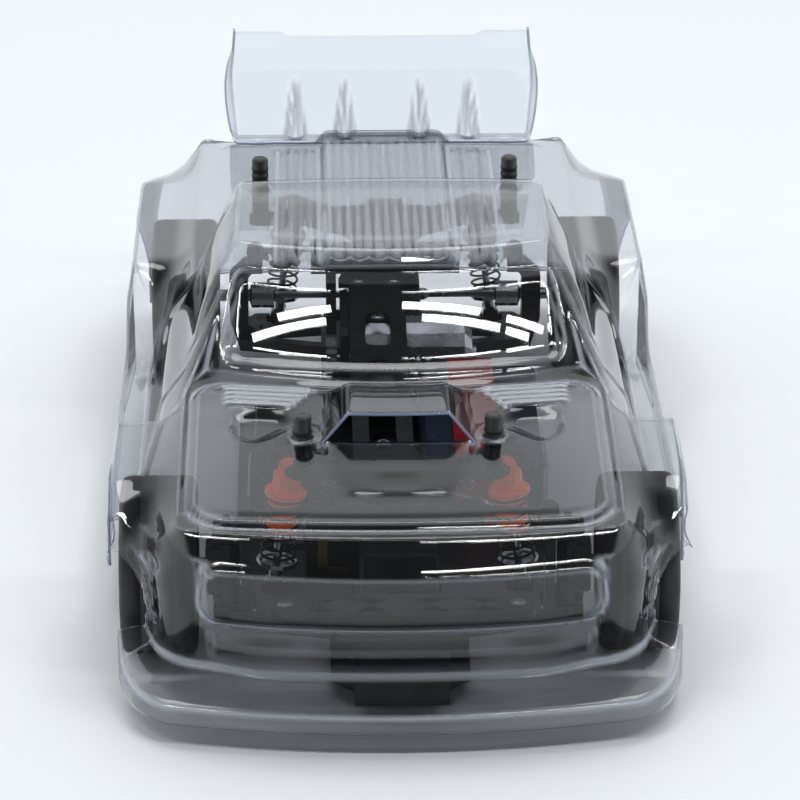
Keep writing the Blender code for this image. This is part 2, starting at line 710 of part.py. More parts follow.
def shock(corner, side, axle):
    """Damper body, its shaft with the lower spring cup, and the coil spring, hung from the tower."""
    y = axle + SHOCK_BACK
    top = Vector((side * SHOCK_TOP[0], y, SHOCK_TOP[1]))
    foot = Vector((side * SHOCK_FOOT[0], y, SHOCK_FOOT[1]))
    length = (foot - top).length
    collar = [(0, 1.5), (5, 1.5), (5, 8), (7.4, 8), (7.4, 9.6)]
    body = collar + [(5.2, 9.6), (5.2, 23), (2.1, 23), (2.1, 5), (0, 5)]
    look = ORANGE if corner.startswith("front") else DARK
    made = add(f"{corner}_shock_body", aim(lathe(body, 12), top, foot), top, look=look)
    boolean(made, rod((top.x, y - 2.4, top.z), (top.x, y + 2.4, top.z), 3.6, 10), "UNION")
    boolean(made, rod((top.x, y - 4, top.z), (top.x, y + 4, top.z), 1.8))
    piston_rod = [(0, 10), (1.5, 10), (1.5, 34.5)]
    shaft = piston_rod + [(7.2, 34.5), (7.2, 36), (2.2, 37.5), (2.2, length), (0, length)]
    made = add(f"{corner}_shock_shaft", aim(lathe(shaft, 10), top, foot), foot, look=STEEL)
    boolean(made, rod((foot.x, y - 2.4, foot.z), (foot.x, y + 2.4, foot.z), 3.4, 10), "UNION")
    boolean(made, rod((foot.x, y - 4, foot.z), (foot.x, y + 4, foot.z), EYE_BORE_R))
    add(f"{corner}_shock_spring", aim(coil(10.6, 33.5), top, foot), top, look=BLACK, smooth=True)


def coil(start, end):
    """A closed coil of round wire along +Z."""
    bm = bmesh.new()
    around, sides = 9, 4
    steps = int(SPRING_TURNS * around)
    rings = []
    for k in range(steps + 1):
        share = k / steps
        angle = 2 * math.pi * SPRING_TURNS * share
        height = start + SPRING_WIRE_R + (end - start - 2 * SPRING_WIRE_R) * share
        ring = []
        for n in range(sides):
            turn = 2 * math.pi * n / sides
            radius = SPRING_R + SPRING_WIRE_R * math.cos(turn)
            rise = height + SPRING_WIRE_R * math.sin(turn)
            ring.append(bm.verts.new((radius * math.cos(angle), radius * math.sin(angle), rise)))
        rings.append(ring)
    for first, second in zip(rings, rings[1:]):
        for n in range(sides):
            m = (n + 1) % sides
            bm.faces.new((first[n], first[m], second[m], second[n]))
    bm.faces.new(rings[0])
    bm.faces.new(reversed(rings[-1]))
    return bm


# ---------------------------------------------------------------- steering
def servo():
    made = add("steering_servo", box((-33, 7), (-107, -87.5), (7.4, 33.0), 0.8), look=GOLD)
    boolean(made, box((-39, 13), (-107, -87.5), (26, 28.4)), "UNION")
    boolean(made, rod((0, HORN_Y, 32), (0, HORN_Y, 37.2), 5.5, 12), "UNION")


def servo_horn():
    pin_y = HORN_Y + STEER_ARM
    turns = np.linspace(math.pi, 2 * math.pi, 8)
    outline = [(5.5 * math.cos(a), HORN_Y + 5.5 * math.sin(a)) for a in turns]
    outline += [(3, pin_y), (1.5, pin_y + 2.6), (-1.5, pin_y + 2.6), (-3, pin_y)]
    made = add("servo_horn", prism(outline, 37.6, 40.4), (0, HORN_Y, 39), look=ORANGE)
    boolean(made, rod((0, pin_y, 33.8), (0, pin_y, 43.8), PIN_R), "UNION")


def tie_rod(side, inner_z):
    name = "left_tie_rod" if side > 0 else "right_tie_rod"
    pin_y = HORN_Y + STEER_ARM
    inner = Vector((0, pin_y, inner_z))
    outer = Vector((side * KINGPIN_X, -AXLE_Y + STEER_ARM, 36))
    run = (outer - inner).normalized()
    bm = rod(inner + run * 2.4, outer - run * 2.4, 1.2, 8)
    made = add(name, bm, inner, look=STEEL)
    for centre, half in ((inner, 1.2), (outer, 1.5)):
        ring = rod(centre - Vector((0, 0, half)), centre + Vector((0, 0, half)), 3.2, 10)
        boolean(made, ring, "UNION")
    bores = [rod(c - Vector((0, 0, 4)), c + Vector((0, 0, 4)), EYE_BORE_R) for c in (inner, outer)]
    boolean(made, merged(*bores))


# ---------------------------------------------------------------- drive and electronics
def gear(teeth, phase):
    """The outline of a gear with trapezoid teeth, about its own axis."""
    pitch = GEAR_MODULE * teeth / 2
    step = 2 * math.pi / teeth
    root, crown = pitch - GEAR_DEDENDUM, pitch + GEAR_ADDENDUM
    outline = []
    for k in range(teeth):
        for share, radius in ((-0.21, root), (-0.1, crown), (0.1, crown), (0.21, root)):
            angle = phase + step * (k + share)
            outline.append((radius * math.cos(angle), radius * math.sin(angle)))
    return outline


def drive():
    line = math.atan2(SPUR_Z - MOTOR_Z, SPUR_Y - MOTOR_Y)
    spur = [(SPUR_Y + a, SPUR_Z + b) for a, b in gear(SPUR_TEETH, line + math.pi)]
    origin = (GEAR_X[0], SPUR_Y, SPUR_Z)
    made = add("spur_gear", prism(spur, *GEAR_X, "x"), origin, look=DARK)
    boolean(made, rod((-30, SPUR_Y, SPUR_Z), (-10, SPUR_Y, SPUR_Z), 2.9, 12))
    pinion = [(MOTOR_Y + a, MOTOR_Z + b) for a, b in gear(PINION_TEETH, line + math.pi / PINION_TEETH)]
    origin = (GEAR_X[0], MOTOR_Y, MOTOR_Z)
    made = add("motor_pinion", prism(pinion, *GEAR_X, "x"), origin, look=STEEL)
    boolean(made, rod((-21, MOTOR_Y, MOTOR_Z), (-12.5, MOTOR_Y, MOTOR_Z), 1.6), "UNION")
    end = MOTOR_L - 2
    can = [(0, 5), (2.4, 5), (2.4, 0.2), (14, 0.2), (MOTOR_R, 2.5), (MOTOR_R, end - 3), (14, end)]
    can += [(5, end), (5, end + 2), (0, end + 2)]
    start = (-15.0, MOTOR_Y, MOTOR_Z)
    add("motor", aim(lathe(can, 20), start, (-14.0, MOTOR_Y, MOTOR_Z)), start, look=STEEL)


def electronics():
    xs, ys, zs = BATTERY
    add("battery", box(xs, ys, zs, 1.8), look=BLUE)
    low, high = ys[0] - 0.4, ys[1] + 0.4
    top = zs[1] + 0.4
    band = [(low, 7.4), (low, top), (high, top), (high, 7.4)]
    crest = top + STRAP_T
    outer = [(high + STRAP_T, 7.4), (high + STRAP_T, crest), (low - STRAP_T, crest), (low - STRAP_T, 7.4)]
    add("battery_strap", prism(band + outer, *STRAP_X, "x"), look=RED)
    esc = add("speed_controller", box((-54, -22), (-38, 4), (7.4, 16), 0.8), look=BLACK)
    for k in range(6):
        boolean(esc, box((-52 + 5.2 * k, -49.5 + 5.2 * k), (-36, 2), (15, 23)), "UNION")
    add("receiver", box((-52, -26), (12, 44), (7.4, 19), 1.0), look=DARK)


# ---------------------------------------------------------------- build
def main():
    clear_scene()
    body_shell()
    wing()
    chassis()
    bumper()
    front_bulkhead()
    rear_gearbox()
    tower("front_shock_tower", -AXLE_Y, 47.1)
    tower("rear_shock_tower", AXLE_Y, 44.3)
    body_mount("front_body_mount", FRONT_POST, -AXLE_Y + TOWER_BACK - 0.3)
    body_mount("rear_body_mount", REAR_POST, AXLE_Y + TOWER_BACK - 0.3)
    for side, name in ((1, "left"), (-1, "right")):
        for end, word, reach in ((-1, "front", FRONT_TYRE_OUT), (1, "rear", REAR_TYRE_OUT)):
            corner = f"{word}_{name}"
            axle = end * AXLE_Y
            wheel(corner, side, (side * (reach - TYRE_W / 2), axle, AXLE_Z))
            lower_arm(corner, side, axle)
            upper_link(corner, side, axle)
            shock(corner, side, axle)
        caster_block(side)
        steering_knuckle(side)
        rear_hub(side)
        rear_axle(side)
    servo()
    servo_horn()
    tie_rod(1, 42.3)
    tie_rod(-1, 35.6)
    drive()
    electronics()


main()
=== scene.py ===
"""Looks of the RC drift car: a clear pickup shell over a black chassis with orange-red suspension parts."""

import json
import math

import bmesh
import bpy
import numpy as np
from mathutils import Matrix, Vector


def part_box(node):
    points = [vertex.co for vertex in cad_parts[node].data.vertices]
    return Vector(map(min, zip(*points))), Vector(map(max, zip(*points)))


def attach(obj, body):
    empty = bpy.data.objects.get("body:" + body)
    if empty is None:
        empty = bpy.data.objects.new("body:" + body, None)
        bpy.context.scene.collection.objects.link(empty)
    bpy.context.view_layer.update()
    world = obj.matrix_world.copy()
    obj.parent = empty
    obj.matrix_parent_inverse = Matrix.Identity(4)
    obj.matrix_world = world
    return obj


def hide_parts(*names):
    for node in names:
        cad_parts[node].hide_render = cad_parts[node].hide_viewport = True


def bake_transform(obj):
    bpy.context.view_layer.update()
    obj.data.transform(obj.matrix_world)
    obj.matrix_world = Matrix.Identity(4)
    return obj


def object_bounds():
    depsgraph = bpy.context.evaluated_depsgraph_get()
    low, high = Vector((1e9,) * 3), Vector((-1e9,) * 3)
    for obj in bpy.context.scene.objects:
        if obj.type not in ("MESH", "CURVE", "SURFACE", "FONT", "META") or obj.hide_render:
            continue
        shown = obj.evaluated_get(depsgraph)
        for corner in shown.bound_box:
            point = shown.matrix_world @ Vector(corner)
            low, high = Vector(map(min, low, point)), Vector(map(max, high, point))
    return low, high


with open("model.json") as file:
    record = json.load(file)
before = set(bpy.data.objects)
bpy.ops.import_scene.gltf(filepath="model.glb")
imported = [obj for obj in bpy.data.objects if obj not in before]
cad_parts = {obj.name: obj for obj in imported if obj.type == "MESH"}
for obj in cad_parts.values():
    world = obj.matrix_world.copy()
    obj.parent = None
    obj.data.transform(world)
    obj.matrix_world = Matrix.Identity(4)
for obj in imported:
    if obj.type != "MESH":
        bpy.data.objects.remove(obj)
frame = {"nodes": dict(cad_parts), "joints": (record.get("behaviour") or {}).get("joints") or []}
cad_low, cad_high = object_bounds()

# ------------------------------------------------ sizes, mm about the middle of the wheelbase
MM = 0.001
CORNERS = ("front_left", "front_right", "rear_left", "rear_right")


def middle_of(node):
    low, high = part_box(node)
    return (low + high) / 2


SHIFT = (middle_of("front_left_tyre").y + middle_of("rear_left_tyre").y) / 2
AXLE_Y = (middle_of("rear_left_tyre").y - SHIFT) / MM
AXLE_Z = middle_of("front_left_tyre").z / MM
TOP_Z = cad_high.z / MM
SKIRT_X = cad_high.x / MM - 0.2

SHELL_T = 1.0
ARCH_R = 35.5
ARCH_X = 78.0
HOOD_FRONT = -187.5
HOOD_REAR = -87.0
CAB_BASE = -83.4
SCREEN_TOP = -52.0
SCREEN_BULGE = 1.3
ROOF_FRONT = -46.0
ROOF_REAR = 27.0
BACK_TOP = 31.0
BACK_FOOT = 35.0
DECK_END = 196.0
TOP_HALF = 72.5
POSTS = ((33.0, -125.0), (50.0, 128.5))
POST_HOLE_R = 3.9
POST_BOSS_R = 5.4
SCOOP_MOUTH = -134.0
SCOOP_TOP = 87.6
RAMP_FRONT = -166.0
MOUTH_RISE = 0.7
LOUVRES = 5
BED_RIB_PITCH = 7.47
WING_HALF = 63.0
END_PLATE = 0.16
GUSSETS = (15.5, 36.0)
WING_DIMPLES = (0.0, 51.0)


def point(x, y, z):
    """Metres in the frame from millimetres about the middle of the wheelbase."""
    return Vector((x * MM, y * MM + SHIFT, z * MM))


def ease(t):
    """From 0 to 1 with level ends, as t goes from 0 to 1."""
    t = np.clip(t, 0.0, 1.0)
    return t * t * (3 - 2 * t)


def along(value, *pairs):
    """The second number of the pairs where the first one reaches the value, in straight steps."""
    at, values = zip(*pairs)
    return np.interp(value, at, values)


def rounded_box(a, b, centre, half, radius):
    """Signed distance to a rounded rectangle, negative inside."""
    qa = np.abs(a - centre[0]) - half[0] + radius
    qb = np.abs(b - centre[1]) - half[1] + radius
    outside = np.hypot(np.maximum(qa, 0), np.maximum(qb, 0))
    return outside + np.minimum(np.maximum(qa, qb), 0) - radius


def inside(distance, width):
    """1 inside a shape and 0 outside it, easing over the given width."""
    return ease(0.5 - distance / width)


def ridge(distance, width):
    """1 where the distance is 0, falling away smoothly on both sides of it."""
    return np.exp(-((distance / width) ** 2))


# ---------------------------------------------------------------- body shell
def top_height(x, y):
    """Height of the hood, cab and bed above the ground, without their pressed shapes."""
    middle = along(
        y,
        (HOOD_FRONT, 69.6),
        (HOOD_REAR, 80.0),
        (CAB_BASE, 80.6),
        (SCREEN_TOP, 111.0),
        (ROOF_FRONT, 116.6),
        (-30, 117.9),
        (0, TOP_Z),
        (ROOF_REAR, 117.6),
        (BACK_TOP, 112.0),
        (BACK_FOOT, 77.0),
        (DECK_END, 74.5),
    )
    rake = np.clip((y - CAB_BASE) / (SCREEN_TOP - CAB_BASE), 0, 1)
    middle = middle + SCREEN_BULGE * 4 * rake * (1 - rake)
    crown = along(
        y,
        (HOOD_FRONT, 1.4),
        (CAB_BASE, 2.4),
        (SCREEN_TOP, 2.0),
        (ROOF_REAR, 2.0),
        (BACK_FOOT, 0.5),
    )
    return middle - crown * (np.minimum(np.abs(x), 70) / 62) ** 2


def top_edge(y):
    """Half-width of the top panel: the hood, the roof or the bed."""
    return along(
        y,
        (HOOD_REAR, TOP_HALF),
        (CAB_BASE, 68.0),
        (SCREEN_TOP, 58.0),
        (ROOF_FRONT, 57.5),
        (ROOF_REAR, 57.0),
        (BACK_TOP, 58.5),
        (BACK_FOOT, 65.0),
        (BACK_FOOT + 6, 70.0),
    )


def sweep(y):
    """How strongly a cross line bows forward in its middle."""
    return along(
        y,
        (HOOD_FRONT, 0.00175),
        (HOOD_REAR, 0.0031),
        (CAB_BASE, 0.0042),
        (ROOF_FRONT, 0.0042),
        (ROOF_REAR, 0.0004),
        (BACK_FOOT, 0),
    )


def bowed(x, y):
    """Where a point of a cross line lies along the car, once the line is bowed."""
    side = np.abs(x)
    return y + sweep(y) * np.minimum(side, 68) ** 2 * (1 - ease((side - 73) / 10))


def scoop_height(x, y):
    """Height that the hood scoop and the ramp before its mouth add to the hood."""
    base = top_height(x, y)
    side = np.abs(x)
    lip = SCOOP_MOUTH - 0.5
    roof = along(y, (lip, SCOOP_TOP), (-104, 87.0), (-90.5, 78.5))
    wall = SCOOP_TOP - (side - along(y, (lip, 17.6), (-104, 16.8))) * 1.28
    block = np.where(y > SCOOP_MOUTH, np.minimum(roof, wall), 0)
    reach = along(y, (RAMP_FRONT, 17.0), (SCOOP_MOUTH, 26.0))
    lift = along(y, (RAMP_FRONT, 0.7), (SCOOP_MOUTH, 2.6))
    ramp = base + lift * ease((reach - side) / 2.4 + 0.5) * ease((y - RAMP_FRONT + 0.5) / 1.6)
    ramp = np.where(y <= SCOOP_MOUTH, ramp, 0)
    return np.maximum(np.maximum(block, ramp) - base, 0)


def post_boss(side, y, place):
    """The ring pressed up round a body post's hole."""
    post_x, post_y = place
    return 0.8 * ridge(np.hypot(side - post_x, y - post_y) - POST_BOSS_R, 1.2)


def hood_relief(x, y):
    """The hood's raised panel, with its scoop, louvres, ducts and badge recess."""
    side = np.abs(x)
    middle, half = (HOOD_FRONT + HOOD_REAR) / 2 + 0.6, (HOOD_REAR - HOOD_FRONT) / 2 - 2.6
    hood = rounded_box(x, y, (0, middle), (70.6, half), 13)
    relief = 1.6 * inside(hood, 1.6) - 1.1 * ridge(hood - 2.2, 1.0) - 0.9 * ridge(hood + 3.4, 1.1)
    relief += scoop_height(x, y)
    for k in range(LOUVRES):
        inner, outer = 29.6 + 2.0 * k, 60.5
        centre = ((outer + inner) / 2, -94.0 - 3.2 * k)
        row = rounded_box(side, y, centre, ((outer - inner) / 2, 0.9), 0.9)
        relief += 1.7 * inside(row, 1.5)
    duct = rounded_box(side, y, (46.5, -120.5), (10.5, 9.5), 8)
    duct = np.maximum(duct, (side - 36.5) * -0.35 - (y + 111) * 0.4 - 3)
    relief -= 2.4 * inside(duct, 3.0)
    badge = rounded_box(x, y, (-1, -159.5), (7.5, 4.5), 2.5)
    return relief - 0.3 * inside(badge, 1.6) + post_boss(side, y, POSTS[0])


def cab_relief(x, y):
    """The sunk windscreen, roof panel and rear window."""
    rake = (y - CAB_BASE) / (SCREEN_TOP - CAB_BASE)
    middle, half = (CAB_BASE + SCREEN_TOP) / 2 + 0.3, (SCREEN_TOP - CAB_BASE) / 2 - 3.6
    glass = rounded_box(x / (1.03 - 0.09 * rake), y, (0, middle), (59.5, half), 4.5)
    relief = 0.6 * ridge(glass - 1.6, 1.0) - 1.9 * inside(glass, 1.4)
    roof = rounded_box(x, y, (0, -8.5), (50, 28), 9)
    relief -= 1.1 * inside(roof, 2.6)
    window = rounded_box(x, y, (0, (BACK_TOP + BACK_FOOT) / 2 - 0.4), (46, 1.45), 0.7)
    return relief - 1.0 * inside(window, 0.4)


def bed_relief(x, y):
    """The bed's raised panel and the ribs along it."""
    side = np.abs(x)
    rib = np.abs((x / BED_RIB_PITCH + 0.5) % 1 - 0.5) * BED_RIB_PITCH
    ribbed = rounded_box(x, y, (0, 108), (45, 68), 3)
    relief = 2.0 * ease((1.9 - rib) / 1.6 + 0.5) * inside(ribbed, 3) * (side < 44)
    panel = rounded_box(x, y, (0, 112), (66, 77), 4)
    return relief + 1.4 * inside(panel, 2.0) + post_boss(side, y, POSTS[1])


def top_relief(x, y):
    """Raised and sunk shapes pressed into the top panel, in mm."""
    return hood_relief(x, y) + cab_relief(x, y) + bed_relief(x, y)


def top_point(x, y):
    """A point of the top panel, its relief pressed square to the windscreen and the cab's back."""
    relief = top_relief(x, y)
    slope = along(
        y,
        (CAB_BASE - 3, 0),
        (CAB_BASE, 0.70),
        (SCREEN_TOP, 0.70),
        (ROOF_FRONT, 0.3),
        (ROOF_FRONT + 4, 0),
    )
    back = along(y, (ROOF_REAR - 2, 0), (BACK_TOP, 1), (BACK_FOOT, 1), (BACK_FOOT + 2, 0))
    z = top_height(x, y) + relief * (1 - slope * 0.3) * (1 - back)
    return x, bowed(x, y) - relief * slope + relief * back, z


# Each line along the car's side, from the top panel's edge down to the skirt: how x, y and z
# change with the station along the car.
SIDE_LINES = {
    1: (
        ((HOOD_FRONT, 75.0),),
        ((HOOD_FRONT, -176), (-150, -150), (DECK_END, DECK_END + 1)),
        ((HOOD_FRONT, 67.6), (-82, 77), (35, 76.5), (DECK_END, 73.6)),
    ),
    2: (
        ((HOOD_FRONT, 79.7), (-135, 82.5), (-112, 83), (DECK_END, 83)),
        ((HOOD_FRONT, -173), (-135, -135), (DECK_END, DECK_END + 1)),
        (
            *((HOOD_FRONT, 62), (-135, 70), (-93, 70.2), (-87, 66)),
            *((48, 66), (66, 69.8), (160, 69.8), (DECK_END, 63)),
        ),
    ),
    3: (
        (
            *((HOOD_FRONT, 84.2), (-163, 89.6), (-150, 98), (-139, 98.5), (-93, 98.5), (-87, 88.5)),
            *((48, 88.5), (66, 99), (157, 99), (DECK_END, 92)),
        ),
        ((HOOD_FRONT, -171), (-163, -162), (-150, -150), (DECK_END, DECK_END)),
        (
            *((HOOD_FRONT, 46), (-163, 52), (-150, 61.5), (-147, 63.2), (-137, 67.4)),
            *((-128.5, 69.1), (-113, 70.2), (-93, 70.2), (-87, 48)),
            *((48, 48), (66, 69.6), (157, 69.6), (178, 64), (DECK_END, 58)),
        ),
    ),
    4: (
        (
            *((HOOD_FRONT, 84.2), (-163, 87.4), (-157, 103), (-150, 101.5), (-93, 101.5)),
            *((-87, 92.5), (48, 92.5), (66, 102), (160, 101.5), (DECK_END, 95)),
        ),
        ((HOOD_FRONT, -166), (-163, -163.5), (-157, -160), (-150, -150), (DECK_END, DECK_END - 1)),
        (
            *((HOOD_FRONT, 20), (-163, 26), (-157, 46), (-147, 50), (-93, 52)),
            *((-87, 31), (48, 31), (66, 52), (160, 52), (DECK_END, 44)),
        ),
    ),
    5: (
        (
            *((HOOD_FRONT, 95.3), (-163, 96.5), (-150, 102.5), (-93, 102.8)),
            *((-87, SKIRT_X), (48, SKIRT_X), (66, 102.6), (DECK_END, 95.5)),
        ),
        ((HOOD_FRONT, -172), (-163, -164), (-150, -150), (DECK_END, DECK_END - 2)),
        (
            *((HOOD_FRONT, 16), (-163, 23), (-150, 30), (-93, 32)),
            *((-87, 29.4), (48, 29.4), (66, 32), (DECK_END, 30)),
        ),
    ),
    6: (
        (
            *((HOOD_FRONT, 95.8), (-163, 96.5), (-150, 102.5), (-93, 102.8)),
            *((-87, SKIRT_X), (48, SKIRT_X), (66, 102.6), (DECK_END, 95.5)),
        ),
        ((HOOD_FRONT, -172), (-163, -164), (-150, -150), (DECK_END, DECK_END - 2)),
        ((HOOD_FRONT, 8.5), (-163, 14), (-150, 14), (DECK_END, 14)),
    ),
}


def nose_line(k, x):
    """The k-th line across the nose: the hood's lip, the grille, the bumper's foot, the splitter."""
    if k == 1:
        return x, -190.6 + 0.0019 * x**2, 68.4 - 0.0001 * x**2
    if k == 2:
        return x * 0.955, -198.6 + 0.0018 * x**2, 60.6
    if k == 3:
        return x * 0.985, -198.2 + 0.0019 * x**2, 46.0
    if k == 4:
        return x * 0.975, -193.8 + 0.001 * x**2 + 7.0 * ease((x - 44) / 30), 19.0
    wide = x * 1.08
    return wide, -213.6 + 0.0016 * wide**2, 13.5 if k == 5 else 7.2


# How far each line across the tail stands behind the deck's end, and its height.
TAIL_LINES = {1: (1.8, 73.2), 2: (2.6, 63), 3: (3.0, 52), 4: (2.6, 36), 5: (1.6, 24), 6: (0.6, 20)}


def tail_line(k, x):
    back, z = TAIL_LINES[k]
    spread = along(k, (1, 1.0), (2, 1.06), (3, 1.12), (6, 1.14))
    return x * spread, DECK_END + back - 3.0 * (x / TOP_HALF) ** 4, z


# How square each line's corner is, the stations round a corner, and the steps between lines.
BENDS = {1: 0.45, 2: 0.36, 3: 0.45, 4: 0.5, 5: 0.62, 6: 0.62}
FAN = 8
STRIPS = (6, 5, 11, 13, 7, 3)


def line_point(k, kind, at):
    """A point on the k-th line round the shell, at a station of the nose, a corner, a side or the tail."""
    if kind == "nose":
        return np.array(nose_line(k, at), float)
    if kind == "tail":
        return np.array(tail_line(k, at), float)
    if kind == "side":
        return np.array([along(at, *pairs) for pairs in SIDE_LINES[k]], float)
    end, f = at
    if end == "front":
        a, b = line_point(k, "nose", TOP_HALF), line_point(k, "side", HOOD_FRONT)
    else:
        a, b = line_point(k, "tail", TOP_HALF), line_point(k, "side", DECK_END)
    corner = np.array((b[0], a[1], (a[2] + b[2]) / 2))
    half = (a + b) / 2
    control = half + (corner - half) * BENDS[k]
    control[2] = half[2]
    return (1 - f) ** 2 * a + 2 * f * (1 - f) * control + f**2 * b


def grille_relief(p):
    """Depth of the grille and of the slot under it, in mm."""
    x, z = p[..., 0], p[..., 2]
    grille = rounded_box(x, z, (0, 49.3), (66.5, 10.0), 5.5)
    slot = rounded_box(x, z, (0, 28.4), (64, 3.4), 1.2)
    return 3.6 * inside(grille, 1.7) - 0.9 * ridge(grille - 1.8, 1.1) + 2.8 * inside(slot, 1.5)


def tailgate_relief(p):
    """Depth of the tailgate's panel, in mm."""
    return 1.3 * inside(rounded_box(p[..., 0], p[..., 2], (0, 54), (56, 12.5), 4), 1.6)


def spaced(*spans):
    """Values along spans of (start, end, step), the last one closed."""
    values = []
    for start, end, pitch in spans:
        values += list(np.linspace(start, end, max(2, round((end - start) / pitch) + 1))[:-1])
    return np.array(values + [spans[-1][1]])


ROWS = spaced(
    (HOOD_FRONT, -163, 1.2),
    (-163, -109.0, 1.5),
    (-109.0, -91.5, 0.8),
    (-91.5, HOOD_REAR, 1.1),
    (HOOD_REAR, CAB_BASE, 0.9),
    (CAB_BASE, SCREEN_TOP, 1.3),
    (SCREEN_TOP, ROOF_FRONT, 1.2),
    (ROOF_FRONT, ROOF_REAR, 3.0),
    (ROOF_REAR, BACK_FOOT + 1, 0.5),
    (BACK_FOOT + 1, 90, 3.0),
    (90, 170, 2.5),
    (170, DECK_END, 2.0),
)
COLUMNS = np.linspace(-1, 1, 101)


def perimeter():
    """Stations round the top panel: (row, column) in its grid, side, kind and place, in order."""
    last_row, last_column = len(ROWS) - 1, len(COLUMNS) - 1
    fans = [(k + 1) / (FAN + 1) for k in range(FAN)]
    stations = [((0, i), np.sign(c) or 1, "nose", abs(c) * TOP_HALF) for i, c in enumerate(COLUMNS)]
    stations += [((0, last_column), 1, "corner", ("front", f)) for f in fans]
    stations += [((j, last_column), 1, "side", y) for j, y in enumerate(ROWS)]
    stations += [((last_row, last_column), 1, "corner", ("rear", 1 - f)) for f in fans]
    for i in reversed(range(last_column + 1)):
        c = COLUMNS[i]
        stations.append(((last_row, i), np.sign(c) or 1, "tail", abs(c) * TOP_HALF))
    stations += [((last_row, 0), -1, "corner", ("rear", f)) for f in fans]
    stations += [((j, 0), -1, "side", ROWS[j]) for j in reversed(range(last_row + 1))]
    stations += [((0, 0), -1, "corner", ("front", 1 - f)) for f in fans]
    return stations


def bumper_relief(p):
    """The slanted louvres and the triangular recess on the bumper's corners."""
    x, y, z = np.abs(p[..., 0]), p[..., 1], p[..., 2]
    along_face = inside(rounded_box(y, z, (-166.5, 42), (7.5, 15), 2), 2.0)
    slant = z - 0.19 * (y + 174)
    louvres = sum(ridge(slant - 50.2 + 5.2 * k, 1.2) for k in range(LOUVRES))
    recess = ease((y + 173) / 2) * ease((slant - 53.5) / 1.5)
    recess = recess * ease((60.5 - z) / 1.5) * ease((-154 - y) / 3)
    return (recess * 1.1 - louvres * 1.5 * along_face) * (x > 76) * (y < -152)


def side_window_relief(p, share):
    """A sunk side window on the cab's flank; share runs from the roof edge down to the belt."""
    y = p[..., 1]
    sill = rounded_box(y, share * 42, (-9 - 9 * share, 20), (27 + 9 * share, 12.5), 5)
    return 1.6 * inside(sill, 2.0) - 0.6 * ridge(sill - 2.2, 1.3)


def door_relief(p):
    """The door's shut lines and its handle, on the flank between the wheels."""
    y, z = p[..., 1], p[..., 2]
    gap = ridge(y + 62, 0.9) + ridge(y - 22, 0.9)
    handle = rounded_box(y, z, (12, 60), (6, 1.8), 1.6)
    return 1.2 * gap * ease((z - 32) / 2) * ease((76 - z) / 2) - 1.3 * inside(handle, 1.6)


def arch_reach(p):
    """How far a point is from a wheel's axle, level when it is lower, and where the axle is."""
    axle = AXLE_Y if p[1] > 0 else -AXLE_Y
    dy, dz = p[1] - axle, max(0.0, p[2] - AXLE_Z)
    return math.hypot(dy, dz), axle


def in_arch(p):
    """Whether a point of the flank lies in a wheel opening."""
    return abs(p[0]) > ARCH_X and arch_reach(p)[0] < ARCH_R


def onto_arch(p):
    """The point moved onto the edge of its wheel opening."""
    reach, axle = arch_reach(p)
    scale = ARCH_R / max(reach, 1e-6)
    lifted = AXLE_Z + (p[2] - AXLE_Z) * scale if p[2] > AXLE_Z else p[2]
    return np.array((p[0], axle + (p[1] - axle) * scale, lifted))


def arch_crossing(outer, inner):
    """Where the line from a point outside a wheel opening to one inside it meets the edge."""
    low, high = 0.0, 1.0
    for _ in range(12):
        half = (low + high) / 2
        if in_arch(outer + (inner - outer) * half):
            high = half
        else:
            low = half
    return outer + (inner - outer) * high


def arch_cut(points, faces):
    """Trims the wheel openings: drops the faces inside and brings the rest back to the edge."""
    gone = np.array([in_arch(p) for p in points])
    kept = [face for face in faces if not all(gone[v] for v in face)]
    crossings = {}
    for face in kept:
        for a, b in zip(face, face[1:] + face[:1]):
            if gone[a] == gone[b]:
                continue
            inner, outer = (a, b) if gone[a] else (b, a)
            crossings.setdefault(inner, []).append(arch_crossing(points[outer], points[inner]))
    edge = {v: onto_arch(np.mean(spots, axis=0)) for v, spots in crossings.items()}
    for face in kept:
        close = [edge[v] for v in face if v in crossings]
        for v in face:
            if gone[v] and v not in edge and close:
                edge[v] = onto_arch(np.mean(close, axis=0))
    for v, spot in edge.items():
        points[v] = spot
    return kept


def hole_cut(p, count):
    """Brings the first count points that lie in a post's hole to its edge, and marks them."""
    gone = np.zeros(len(p), bool)
    for px, py in POSTS:
        for side in (1, -1):
            dx, dy = p[:, 0] - side * px, p[:, 1] - py
            radius = np.maximum(np.hypot(dx, dy), 1e-6)
            hit = radius < POST_HOLE_R
            hit[count:] = False
            p[hit, 0] = side * px + (dx / radius * POST_HOLE_R)[hit]
            p[hit, 1] = py + (dy / radius * POST_HOLE_R)[hit]
            gone |= hit
    return gone


def ring_normals(grid):
    """Directions square to a grid whose first and last rows are neighbours."""
    du = np.gradient(grid, axis=1)
    dv = np.roll(grid, -1, 0) - np.roll(grid, 1, 0)
    normal = np.cross(dv, du)
    return normal / np.maximum(np.linalg.norm(normal, axis=2, keepdims=True), 1e-9)


